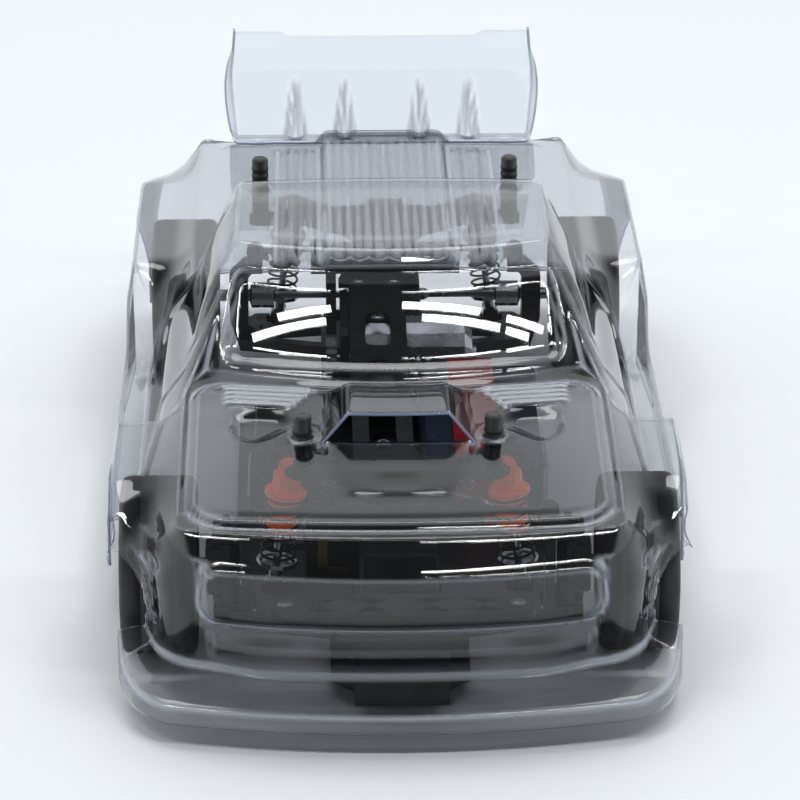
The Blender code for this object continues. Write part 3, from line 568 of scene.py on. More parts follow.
def shell_points():
    """Every point of the sheet and its faces: the top panel, then the ring of panels round it."""
    across = COLUMNS[None, :] * top_edge(ROWS)[:, None]
    rows = np.repeat(ROWS[:, None], len(COLUMNS), 1)
    top = np.stack(top_point(across, rows), 2)
    stations = perimeter()
    ring = np.zeros((len(stations), sum(STRIPS) + 1, 3))
    for s, ((j, i), sign, kind, at) in enumerate(stations):
        lines = [top[j, i] * (sign, 1, 1)] + [line_point(k, kind, at) for k in range(1, 7)]
        stretch = [lines[0]]
        for a, b, count in zip(lines, lines[1:], STRIPS):
            stretch += [a + (b - a) * n / count for n in range(1, count + 1)]
        ring[s] = np.array(stretch) * (sign, 1, 1)
    normal = ring_normals(ring)
    kinds = np.array([kind for _, _, kind, _ in stations])
    depth = np.zeros(ring.shape[:2])
    depth[kinds == "nose"] = grille_relief(ring[kinds == "nose"])
    depth[kinds == "tail"] = tailgate_relief(ring[kinds == "tail"])
    flank = kinds == "side"
    share = np.arange(STRIPS[0] + 1) / STRIPS[0]
    depth[flank, : STRIPS[0] + 1] = side_window_relief(ring[flank, : STRIPS[0] + 1], share[None, :])
    depth[flank, STRIPS[0] + 1 :] += door_relief(ring[flank, STRIPS[0] + 1 :])
    depth += bumper_relief(ring)
    depth[:, 0] = 0
    ring -= normal * depth[..., None]
    points = np.concatenate([top.reshape(-1, 3), ring[:, 1:].reshape(-1, 3)])
    return top, ring, stations, points


def shell_faces(top, ring, stations):
    """The faces of the top panel, open at the scoop's mouth, and of the ring joined to its edge."""
    columns = len(COLUMNS)
    faces = []
    mouth = np.searchsorted(ROWS, SCOOP_MOUTH, side="right") - 1
    height = top[..., 2]
    for j in range(len(ROWS) - 1):
        for i in range(columns - 1):
            rise = min(height[j + 1, i] - height[j, i], height[j + 1, i + 1] - height[j, i + 1])
            if j == mouth and rise > MOUTH_RISE:
                continue
            a = j * columns + i
            faces.append((a, a + 1, a + columns + 1, a + columns))
    base, width = top.shape[0] * columns, ring.shape[1] - 1

    def index(s, t):
        s %= len(stations)
        if t == 0:
            j, i = stations[s][0]
            return j * columns + i
        return base + s * width + t - 1

    for s in range(len(stations)):
        for t in range(width):
            corners = (index(s, t), index(s, t + 1), index(s + 1, t + 1), index(s + 1, t))
            faces.append(tuple(dict.fromkeys(corners)))
    return faces


def relax(bm, rounds):
    """Rounds every crease as a vacuum-formed sheet does, leaving its cut edges where they are."""
    loose = [v for v in bm.verts if not v.is_boundary]
    for _ in range(rounds):
        bmesh.ops.smooth_vert(
            bm, verts=loose, factor=0.5, use_axis_x=True, use_axis_y=True, use_axis_z=True
        )


def mark_bends(bm):
    """Stores how sharply the sheet bends at each point, for the material."""
    layer = bm.verts.layers.float.new("bend")
    bm.normal_update()
    for vert in bm.verts:
        vert[layer] = max((1 - face.normal.dot(vert.normal) for face in vert.link_faces), default=0.0)


def sheet_object(name, bm, body, node, materials):
    """A sheet of the shell's thickness, with the second material on its cut edges."""
    mesh = bpy.data.meshes.new(name)
    for face in bm.faces:
        face.smooth = True
    bm.to_mesh(mesh)
    bm.free()
    made = bpy.data.objects.new(name, mesh)
    bpy.context.scene.collection.objects.link(made)
    for item in materials:
        mesh.materials.append(item)
    thick = made.modifiers.new("sheet", "SOLIDIFY")
    thick.thickness = SHELL_T * MM
    thick.offset = -1.0
    thick.use_even_offset = False
    thick.material_offset_rim = 1
    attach(made, body)
    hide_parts(node)


def body_shell(materials):
    top, ring, stations, points = shell_points()
    faces = shell_faces(top, ring, stations)
    faces = arch_cut(points, faces)
    gone = hole_cut(points, top.shape[0] * len(COLUMNS))
    faces = [face for face in faces if not all(gone[v] for v in face)]
    bm = bmesh.new()
    verts = [bm.verts.new(point(*p)) for p in points]
    for face in faces:
        bm.faces.new([verts[v] for v in face])
    bmesh.ops.delete(bm, geom=[v for v in bm.verts if not v.link_faces], context="VERTS")
    bmesh.ops.remove_doubles(bm, verts=bm.verts, dist=0.02 * MM)
    bmesh.ops.recalc_face_normals(bm, faces=bm.faces)
    highest = max(bm.faces, key=lambda face: face.calc_center_median().z)
    if highest.normal.z < 0:
        bmesh.ops.reverse_faces(bm, faces=bm.faces)
    relax(bm, 2)
    mark_bends(bm)
    sheet_object("clear_body_shell", bm, "shell", "body_shell", materials)


# ---------------------------------------------------------------- rear wing
def wing_profile(t):
    """(y, z) up the wing from its foot, for t from 0 to 1."""
    y = along(t, (0, 188.6), (0.12, 195.4), (0.7, 199.6), (1, 203.0))
    z = along(t, (0, 75.7), (0.12, 76.0), (0.7, 103.5), (1, 117.2))
    return y, z


def rear_wing(materials):
    """The tail wing, its ends turned back into plates, with gussets and dimples pressed in."""
    rise = spaced((0, 0.12, 0.03), (0.12, 0.7, 0.018), (0.7, 1, 0.02))
    outward = spaced((0, 1, 0.02), (1, 1 + END_PLATE, 0.02))
    bm = bmesh.new()
    rows = []
    for t in rise:
        y0, z0 = wing_profile(t)
        width = along(t, (0, 60.0), (0.12, 61.0), (0.55, WING_HALF), (0.7, WING_HALF), (1, 61.5))
        row = []
        for c in list(-outward[::-1]) + list(outward[1:]):
            side, sign = min(abs(c), 1.0), (1 if c > 0 else -1)
            turn = max(0.0, abs(c) - 1) / END_PLATE
            across = side * width
            x = sign * (across + turn * 3.2 * math.sin(math.pi * min(1.0, t + 0.15)))
            y = y0 + turn * along(t, (0, 3.0), (0.12, 6.0), (0.7, 8.4), (1, 4.6))
            z = z0 + 2.0 * float(ease((across - 38) / 5)) * float(ease((t - 0.86) / 0.14))
            fin = 0.0
            for centre in GUSSETS:
                off = abs(across - centre)
                reach = along(t, (0.1, 3.0), (0.62, 0.9))
                tall = along(t, (0.12, 7.0), (0.62, 0.6), (0.64, 0.0))
                fin = max(fin, tall * float(ease((reach - off) / 1.5 + 0.5)))
            near_foot = ridge(t - 0.05, 0.04)
            dimple = sum(ridge(across - centre, 3.5) * near_foot for centre in WING_DIMPLES)
            row.append(bm.verts.new(point(x, y - fin * (t > 0.1), z - dimple)))
        rows.append(row)
    for low, high in zip(rows, rows[1:]):
        for i in range(len(low) - 1):
            bm.faces.new((low[i], low[i + 1], high[i + 1], high[i]))
    bmesh.ops.recalc_face_normals(bm, faces=bm.faces)
    relax(bm, 1)
    mark_bends(bm)
    sheet_object("clear_rear_wing", bm, "shell", "rear_wing", materials)


# ---------------------------------------------------------------- materials
def material(name, colour, metal, rough, **sockets):
    made = bpy.data.materials.new(name)
    made.use_nodes = True
    shader = made.node_tree.nodes["Principled BSDF"]
    shader.inputs["Base Color"].default_value = (*colour, 1)
    shader.inputs["Metallic"].default_value = metal
    shader.inputs["Roughness"].default_value = rough
    for socket, value in sockets.items():
        shader.inputs[socket.replace("_", " ")].default_value = value
    return made


def nodes_of(item):
    tree = item.node_tree
    return tree.nodes, tree.links, tree.nodes["Principled BSDF"]


def noise(item, scale, detail=3.0):
    """A noise over the piece, in metres, so that its grain has a real size."""
    nodes, links, _ = nodes_of(item)
    place = nodes.new("ShaderNodeTexCoord")
    made = nodes.new("ShaderNodeTexNoise")
    made.inputs["Scale"].default_value = scale
    made.inputs["Detail"].default_value = detail
    links.new(place.outputs["Object"], made.inputs["Vector"])
    return made.outputs["Fac"]


def ramp(item, source, low, high):
    """A noise's middle range, spread from low to high."""
    nodes, links, _ = nodes_of(item)
    made = nodes.new("ShaderNodeMapRange")
    made.inputs["From Min"].default_value = 0.3
    made.inputs["From Max"].default_value = 0.7
    made.inputs["To Min"].default_value = low
    made.inputs["To Max"].default_value = high
    links.new(source, made.inputs["Value"])
    return made.outputs["Result"]


def mix_colour(item, share, first, second):
    nodes, links, _ = nodes_of(item)
    made = nodes.new("ShaderNodeMix")
    made.data_type = "RGBA"
    made.inputs["A"].default_value = (*first, 1)
    made.inputs["B"].default_value = (*second, 1)
    links.new(share, made.inputs["Factor"])
    return made.outputs["Result"]


def bump(item, height, strength, distance):
    nodes, links, shader = nodes_of(item)
    made = nodes.new("ShaderNodeBump")
    made.inputs["Strength"].default_value = strength
    made.inputs["Distance"].default_value = distance
    links.new(height, made.inputs["Height"])
    links.new(made.outputs["Normal"], shader.inputs["Normal"])


# Clouds per metre, for the slow drift of colour over a piece.
CLOUD = 35.0


def worn(name, first, second, metal, rough, grain, grain_depth):
    """A surface whose colour and gloss drift a little over the piece, with a fine grain."""
    item = material(name, first, metal, rough)
    _, links, shader = nodes_of(item)
    drift = noise(item, CLOUD)
    links.new(mix_colour(item, ramp(item, drift, 0, 1), first, second), shader.inputs["Base Color"])
    gloss = ramp(item, noise(item, CLOUD * 4), rough * 0.8, min(1.0, rough * 1.25))
    links.new(gloss, shader.inputs["Roughness"])
    bump(item, noise(item, grain, 2.0), 0.35, grain_depth)
    return item


def clear_sheet(name, facing_on, edge_on, crease_paint_share):
    """Clear polycarbonate: a glossy sheet, with painted shade where it is viewed edge-on and painted crease
    lines at its bends.

    Every ray but the camera's passes a darker sheet: painted shade, so that the space
    under the shell stays dark.
    """
    item = bpy.data.materials.new(name)
    item.use_nodes = True
    nodes, links = item.node_tree.nodes, item.node_tree.links
    nodes.clear()
    out = nodes.new("ShaderNodeOutputMaterial")
    through = nodes.new("ShaderNodeBsdfTransparent")
    gloss = nodes.new("ShaderNodeBsdfGlossy")
    gloss.inputs["Roughness"].default_value = 0.02
    gloss.inputs["Color"].default_value = (1, 1, 1, 1)
    facing = nodes.new("ShaderNodeLayerWeight")
    facing.inputs["Blend"].default_value = 0.5
    # Painted shade: where the sheet is viewed edge-on it darkens from the facing-on colour to the edge-on
    # colour.
    tint_and_edge_shade = nodes.new("ShaderNodeMix")
    tint_and_edge_shade.data_type = "RGBA"
    tint_and_edge_shade.inputs["A"].default_value = (*facing_on, 1)
    tint_and_edge_shade.inputs["B"].default_value = (*edge_on, 1)
    shares = []
    for power in (4.0, 5.0):
        raised = nodes.new("ShaderNodeMath")
        raised.operation = "POWER"
        raised.inputs[1].default_value = power
        links.new(facing.outputs["Facing"], raised.inputs[0])
        shares.append(raised.outputs[0])
    links.new(shares[0], tint_and_edge_shade.inputs["Factor"])
    # Painted shade: rays other than the camera's pass a sheet only 0.47 clear facing-on, down to 0.03
    # edge-on, so the floor and parts under the shell get less light.
    ray = nodes.new("ShaderNodeLightPath")
    camera_or_painted_shade_mix = nodes.new("ShaderNodeMix")
    camera_or_painted_shade_mix.data_type = "RGBA"
    shade = nodes.new("ShaderNodeMix")
    shade.data_type = "RGBA"
    shade.inputs["A"].default_value = (0.47, 0.48, 0.50, 1)
    shade.inputs["B"].default_value = (0.03, 0.03, 0.03, 1)
    links.new(facing.outputs["Facing"], shade.inputs["Factor"])
    links.new(shade.outputs["Result"], camera_or_painted_shade_mix.inputs["A"])
    links.new(ray.outputs["Is Camera Ray"], camera_or_painted_shade_mix.inputs["Factor"])
    links.new(tint_and_edge_shade.outputs["Result"], camera_or_painted_shade_mix.inputs["B"])
    links.new(camera_or_painted_shade_mix.outputs["Result"], through.inputs["Color"])
    reflected = nodes.new("ShaderNodeMapRange")
    reflected.inputs["To Min"].default_value = 0.05
    links.new(shares[1], reflected.inputs["Value"])
    sheen = nodes.new("ShaderNodeMixShader")
    links.new(reflected.outputs["Result"], sheen.inputs[0])
    links.new(through.outputs[0], sheen.inputs[1])
    links.new(gloss.outputs[0], sheen.inputs[2])
    # Painted crease lines: where the sheet bends sharply, a grey-blue diffuse is mixed in. It is lighter
    # than the dark parts behind it and darker than the white floor, in place of the light and shade that a
    # clear sheet bends at its creases.
    bend = nodes.new("ShaderNodeAttribute")
    bend.attribute_name = "bend"
    crease_paint_amount = nodes.new("ShaderNodeMapRange")
    crease_paint_amount.inputs["From Min"].default_value = 0.016
    crease_paint_amount.inputs["From Max"].default_value = 0.09
    crease_paint_amount.inputs["To Min"].default_value = 0.0
    crease_paint_amount.inputs["To Max"].default_value = crease_paint_share
    links.new(bend.outputs["Fac"], crease_paint_amount.inputs["Value"])
    crease_paint = nodes.new("ShaderNodeBsdfDiffuse")
    crease_paint.inputs["Color"].default_value = (0.60, 0.64, 0.70, 1)
    both = nodes.new("ShaderNodeMixShader")
    links.new(crease_paint_amount.outputs["Result"], both.inputs[0])
    links.new(sheen.outputs[0], both.inputs[1])
    links.new(crease_paint.outputs[0], both.inputs[2])
    links.new(both.outputs[0], out.inputs["Surface"])
    return item


# Each clear sheet: its facing-on colour, its painted edge-on shade and its largest share of painted crease
# lines.
CLEAR = clear_sheet("clear_sheet", (0.97, 0.975, 0.982), (0.34, 0.38, 0.44), 0.58)
WING_CLEAR = clear_sheet("clear_wing_sheet", (0.94, 0.955, 0.975), (0.26, 0.32, 0.46), 0.40)
CUT_EDGE = material("cut_sheet_edge", (0.34, 0.40, 0.56), 0.0, 0.25, Alpha=0.8)
BLACK = worn("moulded_black", (0.012, 0.012, 0.013), (0.022, 0.022, 0.024), 0.0, 0.42, 900.0, 0.00006)
ORANGE = worn("orange_red_anodised", (1.0, 0.17, 0.05), (1.0, 0.12, 0.035), 0.1, 0.30, 1400.0, 0.00003)
# Painted light: the orange-red parts give off light of their own, strength 0.10, though they are no lamp.
painted_glow = nodes_of(ORANGE)[2].inputs
painted_glow["Emission Color"].default_value = (1.0, 0.16, 0.05, 1)
painted_glow["Emission Strength"].default_value = 0.10
RUBBER = worn("tyre_rubber", (0.012, 0.012, 0.013), (0.020, 0.020, 0.021), 0.0, 0.52, 700.0, 0.0001)
RIM = worn("rim_plastic", (0.030, 0.030, 0.033), (0.045, 0.045, 0.048), 0.0, 0.36, 900.0, 0.00005)
STEEL = worn("bright_steel", (0.62, 0.62, 0.64), (0.50, 0.50, 0.52), 1.0, 0.24, 1500.0, 0.00002)
GOLD = worn("gold_ball_stud", (0.80, 0.55, 0.20), (0.68, 0.44, 0.15), 1.0, 0.26, 1500.0, 0.00002)
SPRING = worn("spring_enamel", (0.030, 0.030, 0.033), (0.020, 0.020, 0.022), 0.3, 0.28, 1200.0, 0.00003)
CASE = worn("servo_case", (0.018, 0.018, 0.020), (0.030, 0.030, 0.034), 0.0, 0.30, 700.0, 0.00004)
WRAP = worn("battery_wrap", (0.035, 0.055, 0.10), (0.025, 0.040, 0.08), 0.0, 0.22, 300.0, 0.00005)
STRAP = worn("red_strap", (0.60, 0.02, 0.02), (0.45, 0.012, 0.015), 0.0, 0.85, 2500.0, 0.0003)
NYLON = worn("black_nylon", (0.016, 0.016, 0.017), (0.026, 0.026, 0.028), 0.0, 0.38, 900.0, 0.00005)
OLIVE = worn("gold_olive_plate", (0.34, 0.26, 0.08), (0.26, 0.20, 0.06), 0.8, 0.35, 1200.0, 0.00003)


# ---------------------------------------------------------------- pieces
def piece(name, bm, look, body, node=None, smooth=True):
    """A mesh that rides a body and, where a node is named, stands in for it."""
    bmesh.ops.recalc_face_normals(bm, faces=bm.faces)
    mesh = bpy.data.meshes.new(name)
    for face in bm.faces:
        face.smooth = smooth
    bm.to_mesh(mesh)
    bm.free()
    made = bpy.data.objects.new(name, mesh)
    bpy.context.scene.collection.objects.link(made)
    mesh.materials.append(look)
    if body:
        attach(made, body)
    if node:
        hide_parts(node)
    return made


def rounded(made, width):
    """Rounds the sharp edges of a piece by a width in mm."""
    soft = made.modifiers.new("rounded", "BEVEL")
    soft.width = width * MM
    soft.segments = 2
    soft.limit_method = "ANGLE"
    soft.angle_limit = math.radians(30)
    soft.harden_normals = True


def frame_along(axis):
    """Two directions square to an axis and to each other."""
    axis = Vector(axis).normalized()
    first = axis.cross(Vector((0, 0, 1)) if abs(axis.z) < 0.9 else Vector((0, 1, 0))).normalized()
    return axis, first, axis.cross(first)


def on_circle(centre, first, second, turn, radius):
    """A point in metres on a circle given in mm, turned from the first direction to the second."""
    return (centre + (first * math.cos(turn) + second * math.sin(turn)) * radius) * MM


def turn_into(bm, profile, start, axis, count):
    """Adds the surface of a profile of (distance along, radius) turned about an axis; mm."""
    axis, first, second = frame_along(axis)
    rings = []
    for reach, radius in profile:
        centre = Vector(start) + axis * reach
        if radius < 1e-6:
            rings.append([bm.verts.new(centre * MM)])
            continue
        turns = [2 * math.pi * k / count for k in range(count)]
        rings.append([bm.verts.new(on_circle(centre, first, second, t, radius)) for t in turns])
    for a, b in zip(rings, rings[1:]):
        for k in range(count):
            n = (k + 1) % count
            corners = (a[k % len(a)], a[n % len(a)], b[n % len(b)], b[k % len(b)])
            bm.faces.new(tuple(dict.fromkeys(corners)))


def car(x, y, z):
    """The frame's millimetres from millimetres about the middle of the wheelbase."""
    return Vector((x, y + SHIFT / MM, z))


# Distance up the head, share of its radius, and sides: round outside, a hexagon in the socket.
SCREW_HEAD = (
    (0, 1.0, 24),
    (0.45, 1.0, 24),
    (1.0, 0.86, 24),
    (1.35, 0.62, 24),
    (1.35, 0.46, 6),
    (0.5, 0.44, 6),
)


def screw_into(bm, centre, axis, radius):
    """A button-head screw with a hex socket."""
    axis, first, second = frame_along(axis)
    centre = Vector(centre)
    rings = []
    for height, share, sides in SCREW_HEAD:
        ring = []
        for k in range(24):
            t = 2 * math.pi * k / 24
            reach = radius * share
            if sides == 6:
                reach *= math.cos(math.pi / 6) / math.cos((t % (math.pi / 3)) - math.pi / 6)
            ring.append(bm.verts.new(on_circle(centre + axis * height, first, second, t, reach)))
        rings.append(ring)
    for a, b in zip(rings, rings[1:]):
        for k in range(24):
            bm.faces.new((a[k], a[(k + 1) % 24], b[(k + 1) % 24], b[k]))
    bm.faces.new(rings[-1])


def screws(name, body, places, look, radius=2.7):
    bm = bmesh.new()
    for centre, axis in places:
        screw_into(bm, centre, axis, radius)
    piece(name, bm, look, body, smooth=False)


# Distance along the axle and radius, from one bead over the grooved tread to the other.
TYRE_PROFILE = (
    (-12.2, 25.6), (-13.0, 27.0), (-13.0, 28.2), (-12.7, 29.3), (-12.0, 30.2), (-10.9, 30.75), (-9.2, 31.0),
    (-6.2, 31.0), (-6.0, 30.7), (-5.4, 30.7), (-5.2, 31.0),
    (-0.4, 31.0), (-0.2, 30.75), (0.2, 30.75), (0.4, 31.0),
    (5.2, 31.0), (5.4, 30.7), (6.0, 30.7), (6.2, 31.0),
    (9.2, 31.0), (10.9, 30.75), (12.0, 30.2), (12.7, 29.3), (13.0, 28.2), (13.0, 27.0), (12.2, 25.6),
)


def tyre(corner):
    node = f"{corner}_tyre"
    centre = middle_of(node) / MM
    bm = bmesh.new()
    turn_into(bm, TYRE_PROFILE, centre, (1, 0, 0), 120)
    made = piece(node + "_fine", bm, RUBBER, f"{corner}_wheel", node)
    wall = made.modifiers.new("wall", "SOLIDIFY")
    wall.thickness = 1.4 * MM
    wall.offset = -1


def shock_line(corner):
    """The top of a shock and the direction down to its foot."""
    joint = {j["name"]: j for j in frame["joints"]}
    top = Vector(joint[f"{corner}_damper_pivot"]["pos_m"]) / MM
    return top, -Vector(joint[f"{corner}_damper_stroke"]["axis"])


def spring(corner):
    """A coil of round wire between the shock's collar and the cup on its shaft, its end turns closed."""
    top, down = shock_line(corner)
    axis, first, second = frame_along(down)
    start, end, wire, radius, turns = 10.5, 33.6, 0.50, 5.92, 7.0
    steps, sides = 196, 8
    bm = bmesh.new()
    rings = []
    for n in range(steps + 1):
        share = n / steps
        t = 2 * math.pi * turns * share
        rise = float(np.interp(share, (0, 0.13, 0.87, 1), (0, 0.06, 0.94, 1)))
        outward = first * math.cos(t) + second * math.sin(t)
        centre = top + axis * (start + (end - start) * rise) + outward * radius
        turns_of = [2 * math.pi * k / sides for k in range(sides)]
        rings.append([bm.verts.new(on_circle(centre, outward, axis, a, wire)) for a in turns_of])
    for a, b in zip(rings, rings[1:]):
        for k in range(sides):
            bm.faces.new((a[k], a[(k + 1) % sides], b[(k + 1) % sides], b[k]))
    bm.faces.new(rings[0])
    bm.faces.new(rings[-1])
    name = f"{corner}_shock_spring"
    made = piece(name + "_coil", bm, SPRING, None, name)
    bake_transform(made)


def threads(corner):
    """The ridged thread on the shock's body."""
    top, down = shock_line(corner)
    bm = bmesh.new()
    profile = [(10.2, 5.22)]
    for k in range(11):
        profile += [(10.6 + 1.1 * k, 5.22), (10.9 + 1.1 * k, 5.42), (11.3 + 1.1 * k, 5.42)]
    profile.append((22.8, 5.22))
    turn_into(bm, profile, top, down, 32)
    look = ORANGE if "front" in corner else NYLON
    piece(f"{corner}_shock_thread", bm, look, f"{corner}_damper")


# Distance along an upper link and radius of its gold collar.
COLLAR_PROFILE = (
    (0, 1.5), (0, 2.5), (1.2, 2.5), (1.4, 2.0), (3.6, 2.0), (3.8, 2.6), (5.3, 2.6), (5.3, 1.5),
)


def link_collar(corner, y):
    """The gold turnbuckle collar near the outer end of an upper link."""
    side = 1 if "left" in corner else -1
    bm = bmesh.new()
    inner, outer = car(side * 47.3, y, 48.4), car(side * 52.6, y, 47.6)
    turn_into(bm, COLLAR_PROFILE, inner, outer - inner, 24)
    piece(f"{corner}_link_collar", bm, GOLD, f"{corner}_link")


def eye_into(bm, centre, half, inner, outer):
    """A rod end's ring round an upright pin."""
    bevel = 0.35
    profile = [(-half, inner), (-half, outer - bevel), (-half + bevel, outer)]
    profile += [(half - bevel, outer), (half, outer - bevel), (half, inner), (-half, inner)]
    turn_into(bm, profile, centre, (0, 0, 1), 32)


def tie_rod(side_name):
    """A turnbuckle with an adjusting hex in its middle and a plastic eye at each end."""
    node = f"{side_name}_tie_rod"
    low, high = (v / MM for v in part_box(node))
    joint = {j["name"]: j for j in frame["joints"]}
    inner = Vector(joint[f"{side_name}_rod_pivot"]["pos_m"]) / MM
    outer = Vector((high.x - 3.2 if side_name == "left" else low.x + 3.2, low.y + 3.0, 36.0))
    reach = (outer - inner).length
    bm = bmesh.new()
    turn_into(bm, ((4, 0.0), (4, 0.82), (reach - 4, 0.82), (reach - 4, 0.0)), inner, outer - inner, 16)
    turn_into(bm, ((31.5, 0.8), (31.5, 1.6), (36, 1.6), (36, 0.8)), inner, outer - inner, 6)
    piece(node + "_turnbuckle", bm, STEEL, f"{side_name}_rod", node)
    bm = bmesh.new()
    for start, end in ((inner, outer), (outer, inner)):
        turn_into(bm, ((2.9, 1.0), (3.2, 1.5), (4.6, 1.5), (5.2, 1.1), (5.2, 0.83)), start, end - start, 20)
    eye_into(bm, inner, 1.2, 1.9, 3.2)
    eye_into(bm, outer, 1.5, 1.9, 3.2)
    piece(node + "_ends", bm, NYLON, f"{side_name}_rod")


def body_posts():
    """The ribbed upper ends of the four posts that hold the shell."""
    bm = bmesh.new()
    for (x, y), crest in zip(POSTS, (85.5, 90.0)):
        for side in (1, -1):
            profile = [(0, 3.16)]
            for k in range(int((crest - 68) / 3.0)):
                profile += [(0.8 + 3 * k, 3.16), (1.1 + 3 * k, 3.42)]
                profile += [(2.2 + 3 * k, 3.42), (2.5 + 3 * k, 3.16)]
            reach = crest - 66.0
            profile += [(reach - 0.9, 3.2), (reach - 0.3, 2.7), (reach + 0.05, 1.8), (reach + 0.05, 0)]
            turn_into(bm, profile, car(side * x, y, 66.0), (0, 0, 1), 32)
    piece("body_post_ribs", bm, NYLON, "chassis")


def boxes(name, body, look, spans, soft=0.25):
    """A piece made of rounded blocks, each given by its low and high corner in the frame's mm."""
    bm = bmesh.new()
    for low, high in spans:
        made = bmesh.ops.create_cube(bm, size=1)["verts"]
        for vert in made:
            vert.co = Vector([(h if c > 0 else l) * MM for c, l, h in zip(vert.co, low, high)])
    rounded(piece(name, bm, look, body, smooth=False), soft)


def speed_controller_details():
    """Two rows of cooling fins along the speed controller."""
    low, high = (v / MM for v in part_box("speed_controller"))
    fins = []
    for k in range(9):
        y = low.y + 4 + k * 4.1
        fins.append(((low.x + 2.5, y, high.z - 7.4), (low.x + 6.5, y + 1.1, high.z - 3.4)))
        fins.append(((high.x - 6.5, y, high.z - 7.4), (high.x - 2.5, y + 1.1, high.z - 3.4)))
    boxes("speed_controller_fins", "chassis", STEEL, fins, 0.15)


def servo_plate():
    """The gold-olive bracket in front of the steering servo."""
    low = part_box("steering_servo")[0] / MM
    front = low.y - 0.9
    spans = [
        ((-28.0, front, 17), (-24.5, front + 0.8, 34.0)),
        ((-28.0, front, 29.5), (-19.0, front + 0.8, 34.0)),
        ((-28.0, front, 17), (-17.5, front + 0.8, 19.5)),
    ]
    boxes("servo_bracket_plate", "chassis", OLIVE, spans, 0.2)


DECK_SCREWS = ((-11, -116), (3, -116), (-11, 101), (3, 101), (-4, -62), (-4, 62))
UNDERSIDE_SCREWS = ((10, -118), (10, -145), (10, 100), (10, 140), (46, -30), (46, 30))
UNDERSIDE_Z = 5.6


def chassis_screws():
    """Screws in the deck, the bumper, the two towers and the chassis plate's underside."""
    up, down, front = (0, 0, 1), (0, 0, -1), (0, -1, 0)
    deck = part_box("top_deck")[1].z / MM
    places = [(car(x, y, deck), up) for x, y in DECK_SCREWS]
    places += [(Vector((side * 39, -180.0, 41.0)), up) for side in (1, -1)]
    places += [(Vector((side * 24, -115.5, 57.0)), front) for side in (1, -1)]
    places += [(Vector((side * 24, 141.5, 57.0)), front) for side in (1, -1)]
    screws("deck_screws", "chassis", places, STEEL)
    below = [
        (car(side * x, y, UNDERSIDE_Z), down) for side in (1, -1) for x, y in UNDERSIDE_SCREWS
    ]
    screws("underside_screws", "chassis", below, STEEL, 2.9)


body_shell((CLEAR, CUT_EDGE))
rear_wing((WING_CLEAR, CUT_EDGE))
for corner_name in CORNERS:
    tyre(corner_name)
    spring(corner_name)
    threads(corner_name)
    link_collar(corner_name, -AXLE_Y + 0.3 if "front" in corner_name else AXLE_Y + 0.3)
tie_rod("left")
tie_rod("right")
body_posts()
speed_controller_details()
servo_plate()
chassis_screws()

REPLACED = {"body_shell", "rear_wing", "left_tie_rod", "right_tie_rod"}
REPLACED |= {f"{corner}_{part}" for corner in CORNERS for part in ("tyre", "shock_spring")}
ROUNDING = {"battery": 1.6, "motor": 0.6, "spur_gear": 0.15, "motor_pinion": 0.15, "battery_strap": 0.5}
LOOKS = {
    "front_left_shock_body": ORANGE,
    "front_right_shock_body": ORANGE,
    "servo_horn": ORANGE,
    "rim": RIM,
    "shock_shaft": STEEL,
    "axle": STEEL,
    "drive_shaft": STEEL,
    "motor": STEEL,
    "motor_pinion": STEEL,
    "spur_gear": NYLON,
    "top_deck": BLACK,
    "chassis_plate": BLACK,
    "battery": WRAP,
    "battery_strap": STRAP,
    "steering_servo": CASE,
    "speed_controller": CASE,
    "receiver": CASE,
}


def look_of(node):
    """The material of a CAD node, by the longest name in LOOKS that its own name ends with."""
    for ending, look in sorted(LOOKS.items(), key=lambda pair: -len(pair[0])):
        if node.endswith(ending):
            return look
    return NYLON


for node_name, node_object in frame["nodes"].items():
    if node_name in REPLACED:
        continue
    node_object.data.materials.clear()
    node_object.data.materials.append(look_of(node_name))
    rounded(node_object, ROUNDING.get(node_name, 0.35))


# ---------------------------------------------------------------- stage, light and camera
def floor():
    mesh = bpy.data.meshes.new("floor")
    reach = 7.0
    corners = [(-reach, -reach, 0), (reach, -reach, 0), (reach, reach, 0), (-reach, reach, 0)]
    mesh.from_pydata(corners, [], [(0, 1, 2, 3)])
    made = bpy.data.objects.new("floor", mesh)
    bpy.context.scene.collection.objects.link(made)
    mesh.materials.append(material("floor_paper", (0.80, 0.825, 0.85), 0.0, 0.6))


def softbox(name, where, target, size, power):
    """A rectangular light facing its target, its first side level with the car's axles."""
    light = bpy.data.lights.new(name, "AREA")
    light.shape = "RECTANGLE"
    light.size, light.size_y = size
    light.energy = power
    made = bpy.data.objects.new(name, light)
    made.location = where
    back = (Vector(where) - Vector(target)).normalized()
    right = (Vector((1, 0, 0)) - back * back.x).normalized()
    made.rotation_euler = Matrix((right, back.cross(right), back)).transposed().to_euler()
    bpy.context.scene.collection.objects.link(made)


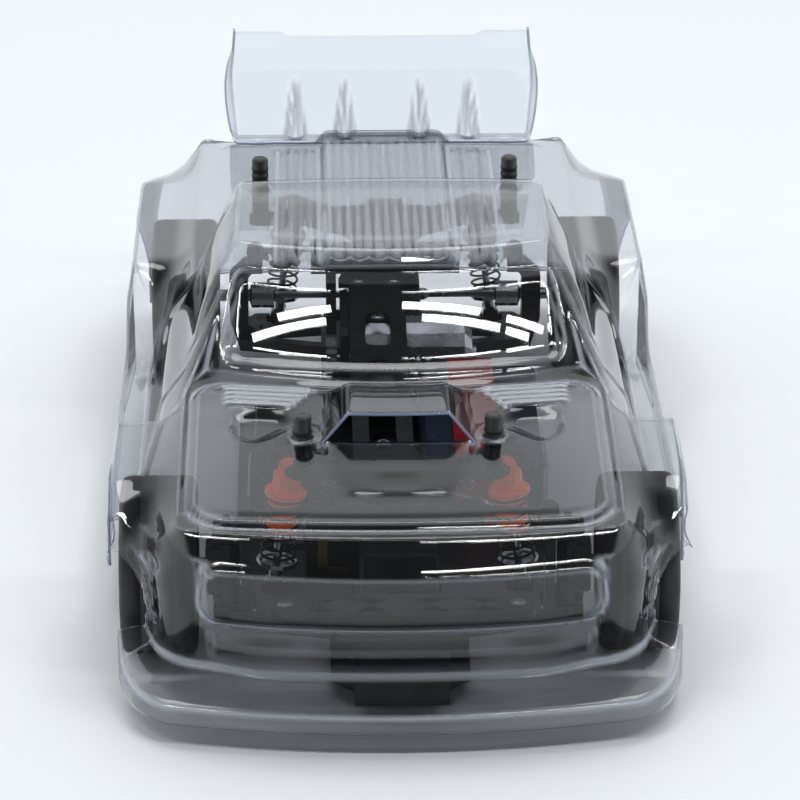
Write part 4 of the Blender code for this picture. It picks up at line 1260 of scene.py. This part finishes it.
def sky():
    """A studio room: bright round the horizon and behind the car, dark overhead."""
    world = bpy.data.worlds.new("studio")
    bpy.context.scene.world = world
    world.use_nodes = True
    nodes, links = world.node_tree.nodes, world.node_tree.links
    back = nodes["Background"]
    place = nodes.new("ShaderNodeTexCoord")
    split = nodes.new("ShaderNodeSeparateXYZ")
    links.new(place.outputs["Generated"], split.inputs[0])
    lean = nodes.new("ShaderNodeMath")
    lean.operation = "MULTIPLY_ADD"
    lean.inputs[1].default_value = -0.45
    links.new(split.outputs["Y"], lean.inputs[0])
    links.new(split.outputs["Z"], lean.inputs[2])
    tone = nodes.new("ShaderNodeMapRange")
    tone.interpolation_type = "SMOOTHSTEP"
    tone.inputs["From Min"].default_value = 0.25
    tone.inputs["From Max"].default_value = 0.85
    tone.inputs["To Min"].default_value = 1.35
    tone.inputs["To Max"].default_value = 0.10
    links.new(lean.outputs[0], tone.inputs["Value"])
    links.new(tone.outputs["Result"], back.inputs["Strength"])
    back.inputs["Color"].default_value = (0.93, 0.965, 1.0, 1)


CAMERA_PLACE = (-0.02735, -1.4059, 0.6308)
CAMERA_AIM = (0.0201, 0.9216, -0.3875)
CAMERA_LENS = 182.6


def camera():
    lens = bpy.data.cameras.new("camera")
    lens.lens = CAMERA_LENS
    lens.clip_end = 100
    made = bpy.data.objects.new("camera", lens)
    made.location = CAMERA_PLACE
    made.rotation_euler = Vector(CAMERA_AIM).to_track_quat("-Z", "Y").to_euler()
    bpy.context.scene.collection.objects.link(made)
    bpy.context.scene.camera = made


floor()
softbox("key_box", (0.0, 0.8, 2.6), (0, 0.05, 0.0), (2.2, 0.9), 31)
# Place across and along, and width, of the narrow lights that the windscreen mirrors.
STRIP_LIGHTS = (
    (-0.78, -0.575, 0.50),
    (-0.98, -0.66, 0.75),
    (-1.75, -0.66, 0.20),
    (0.45, -0.575, 0.70),
    (1.35, -0.575, 0.40),
    (0.66, -0.66, 0.75),
    (1.30, -0.66, 0.25),
)
for number, (side, depth, width) in enumerate(STRIP_LIGHTS):
    softbox(f"strip_box_{number}", (side, depth, 1.9), (0, 0, 0.05), (width, 0.05), 5 * width)
sky()
camera()
scene = bpy.context.scene
scene.cycles.transparent_max_bounces = 32
scene.cycles.max_bounces = 14
scene.cycles.use_denoising = True
scene.view_settings.view_transform = "Standard"
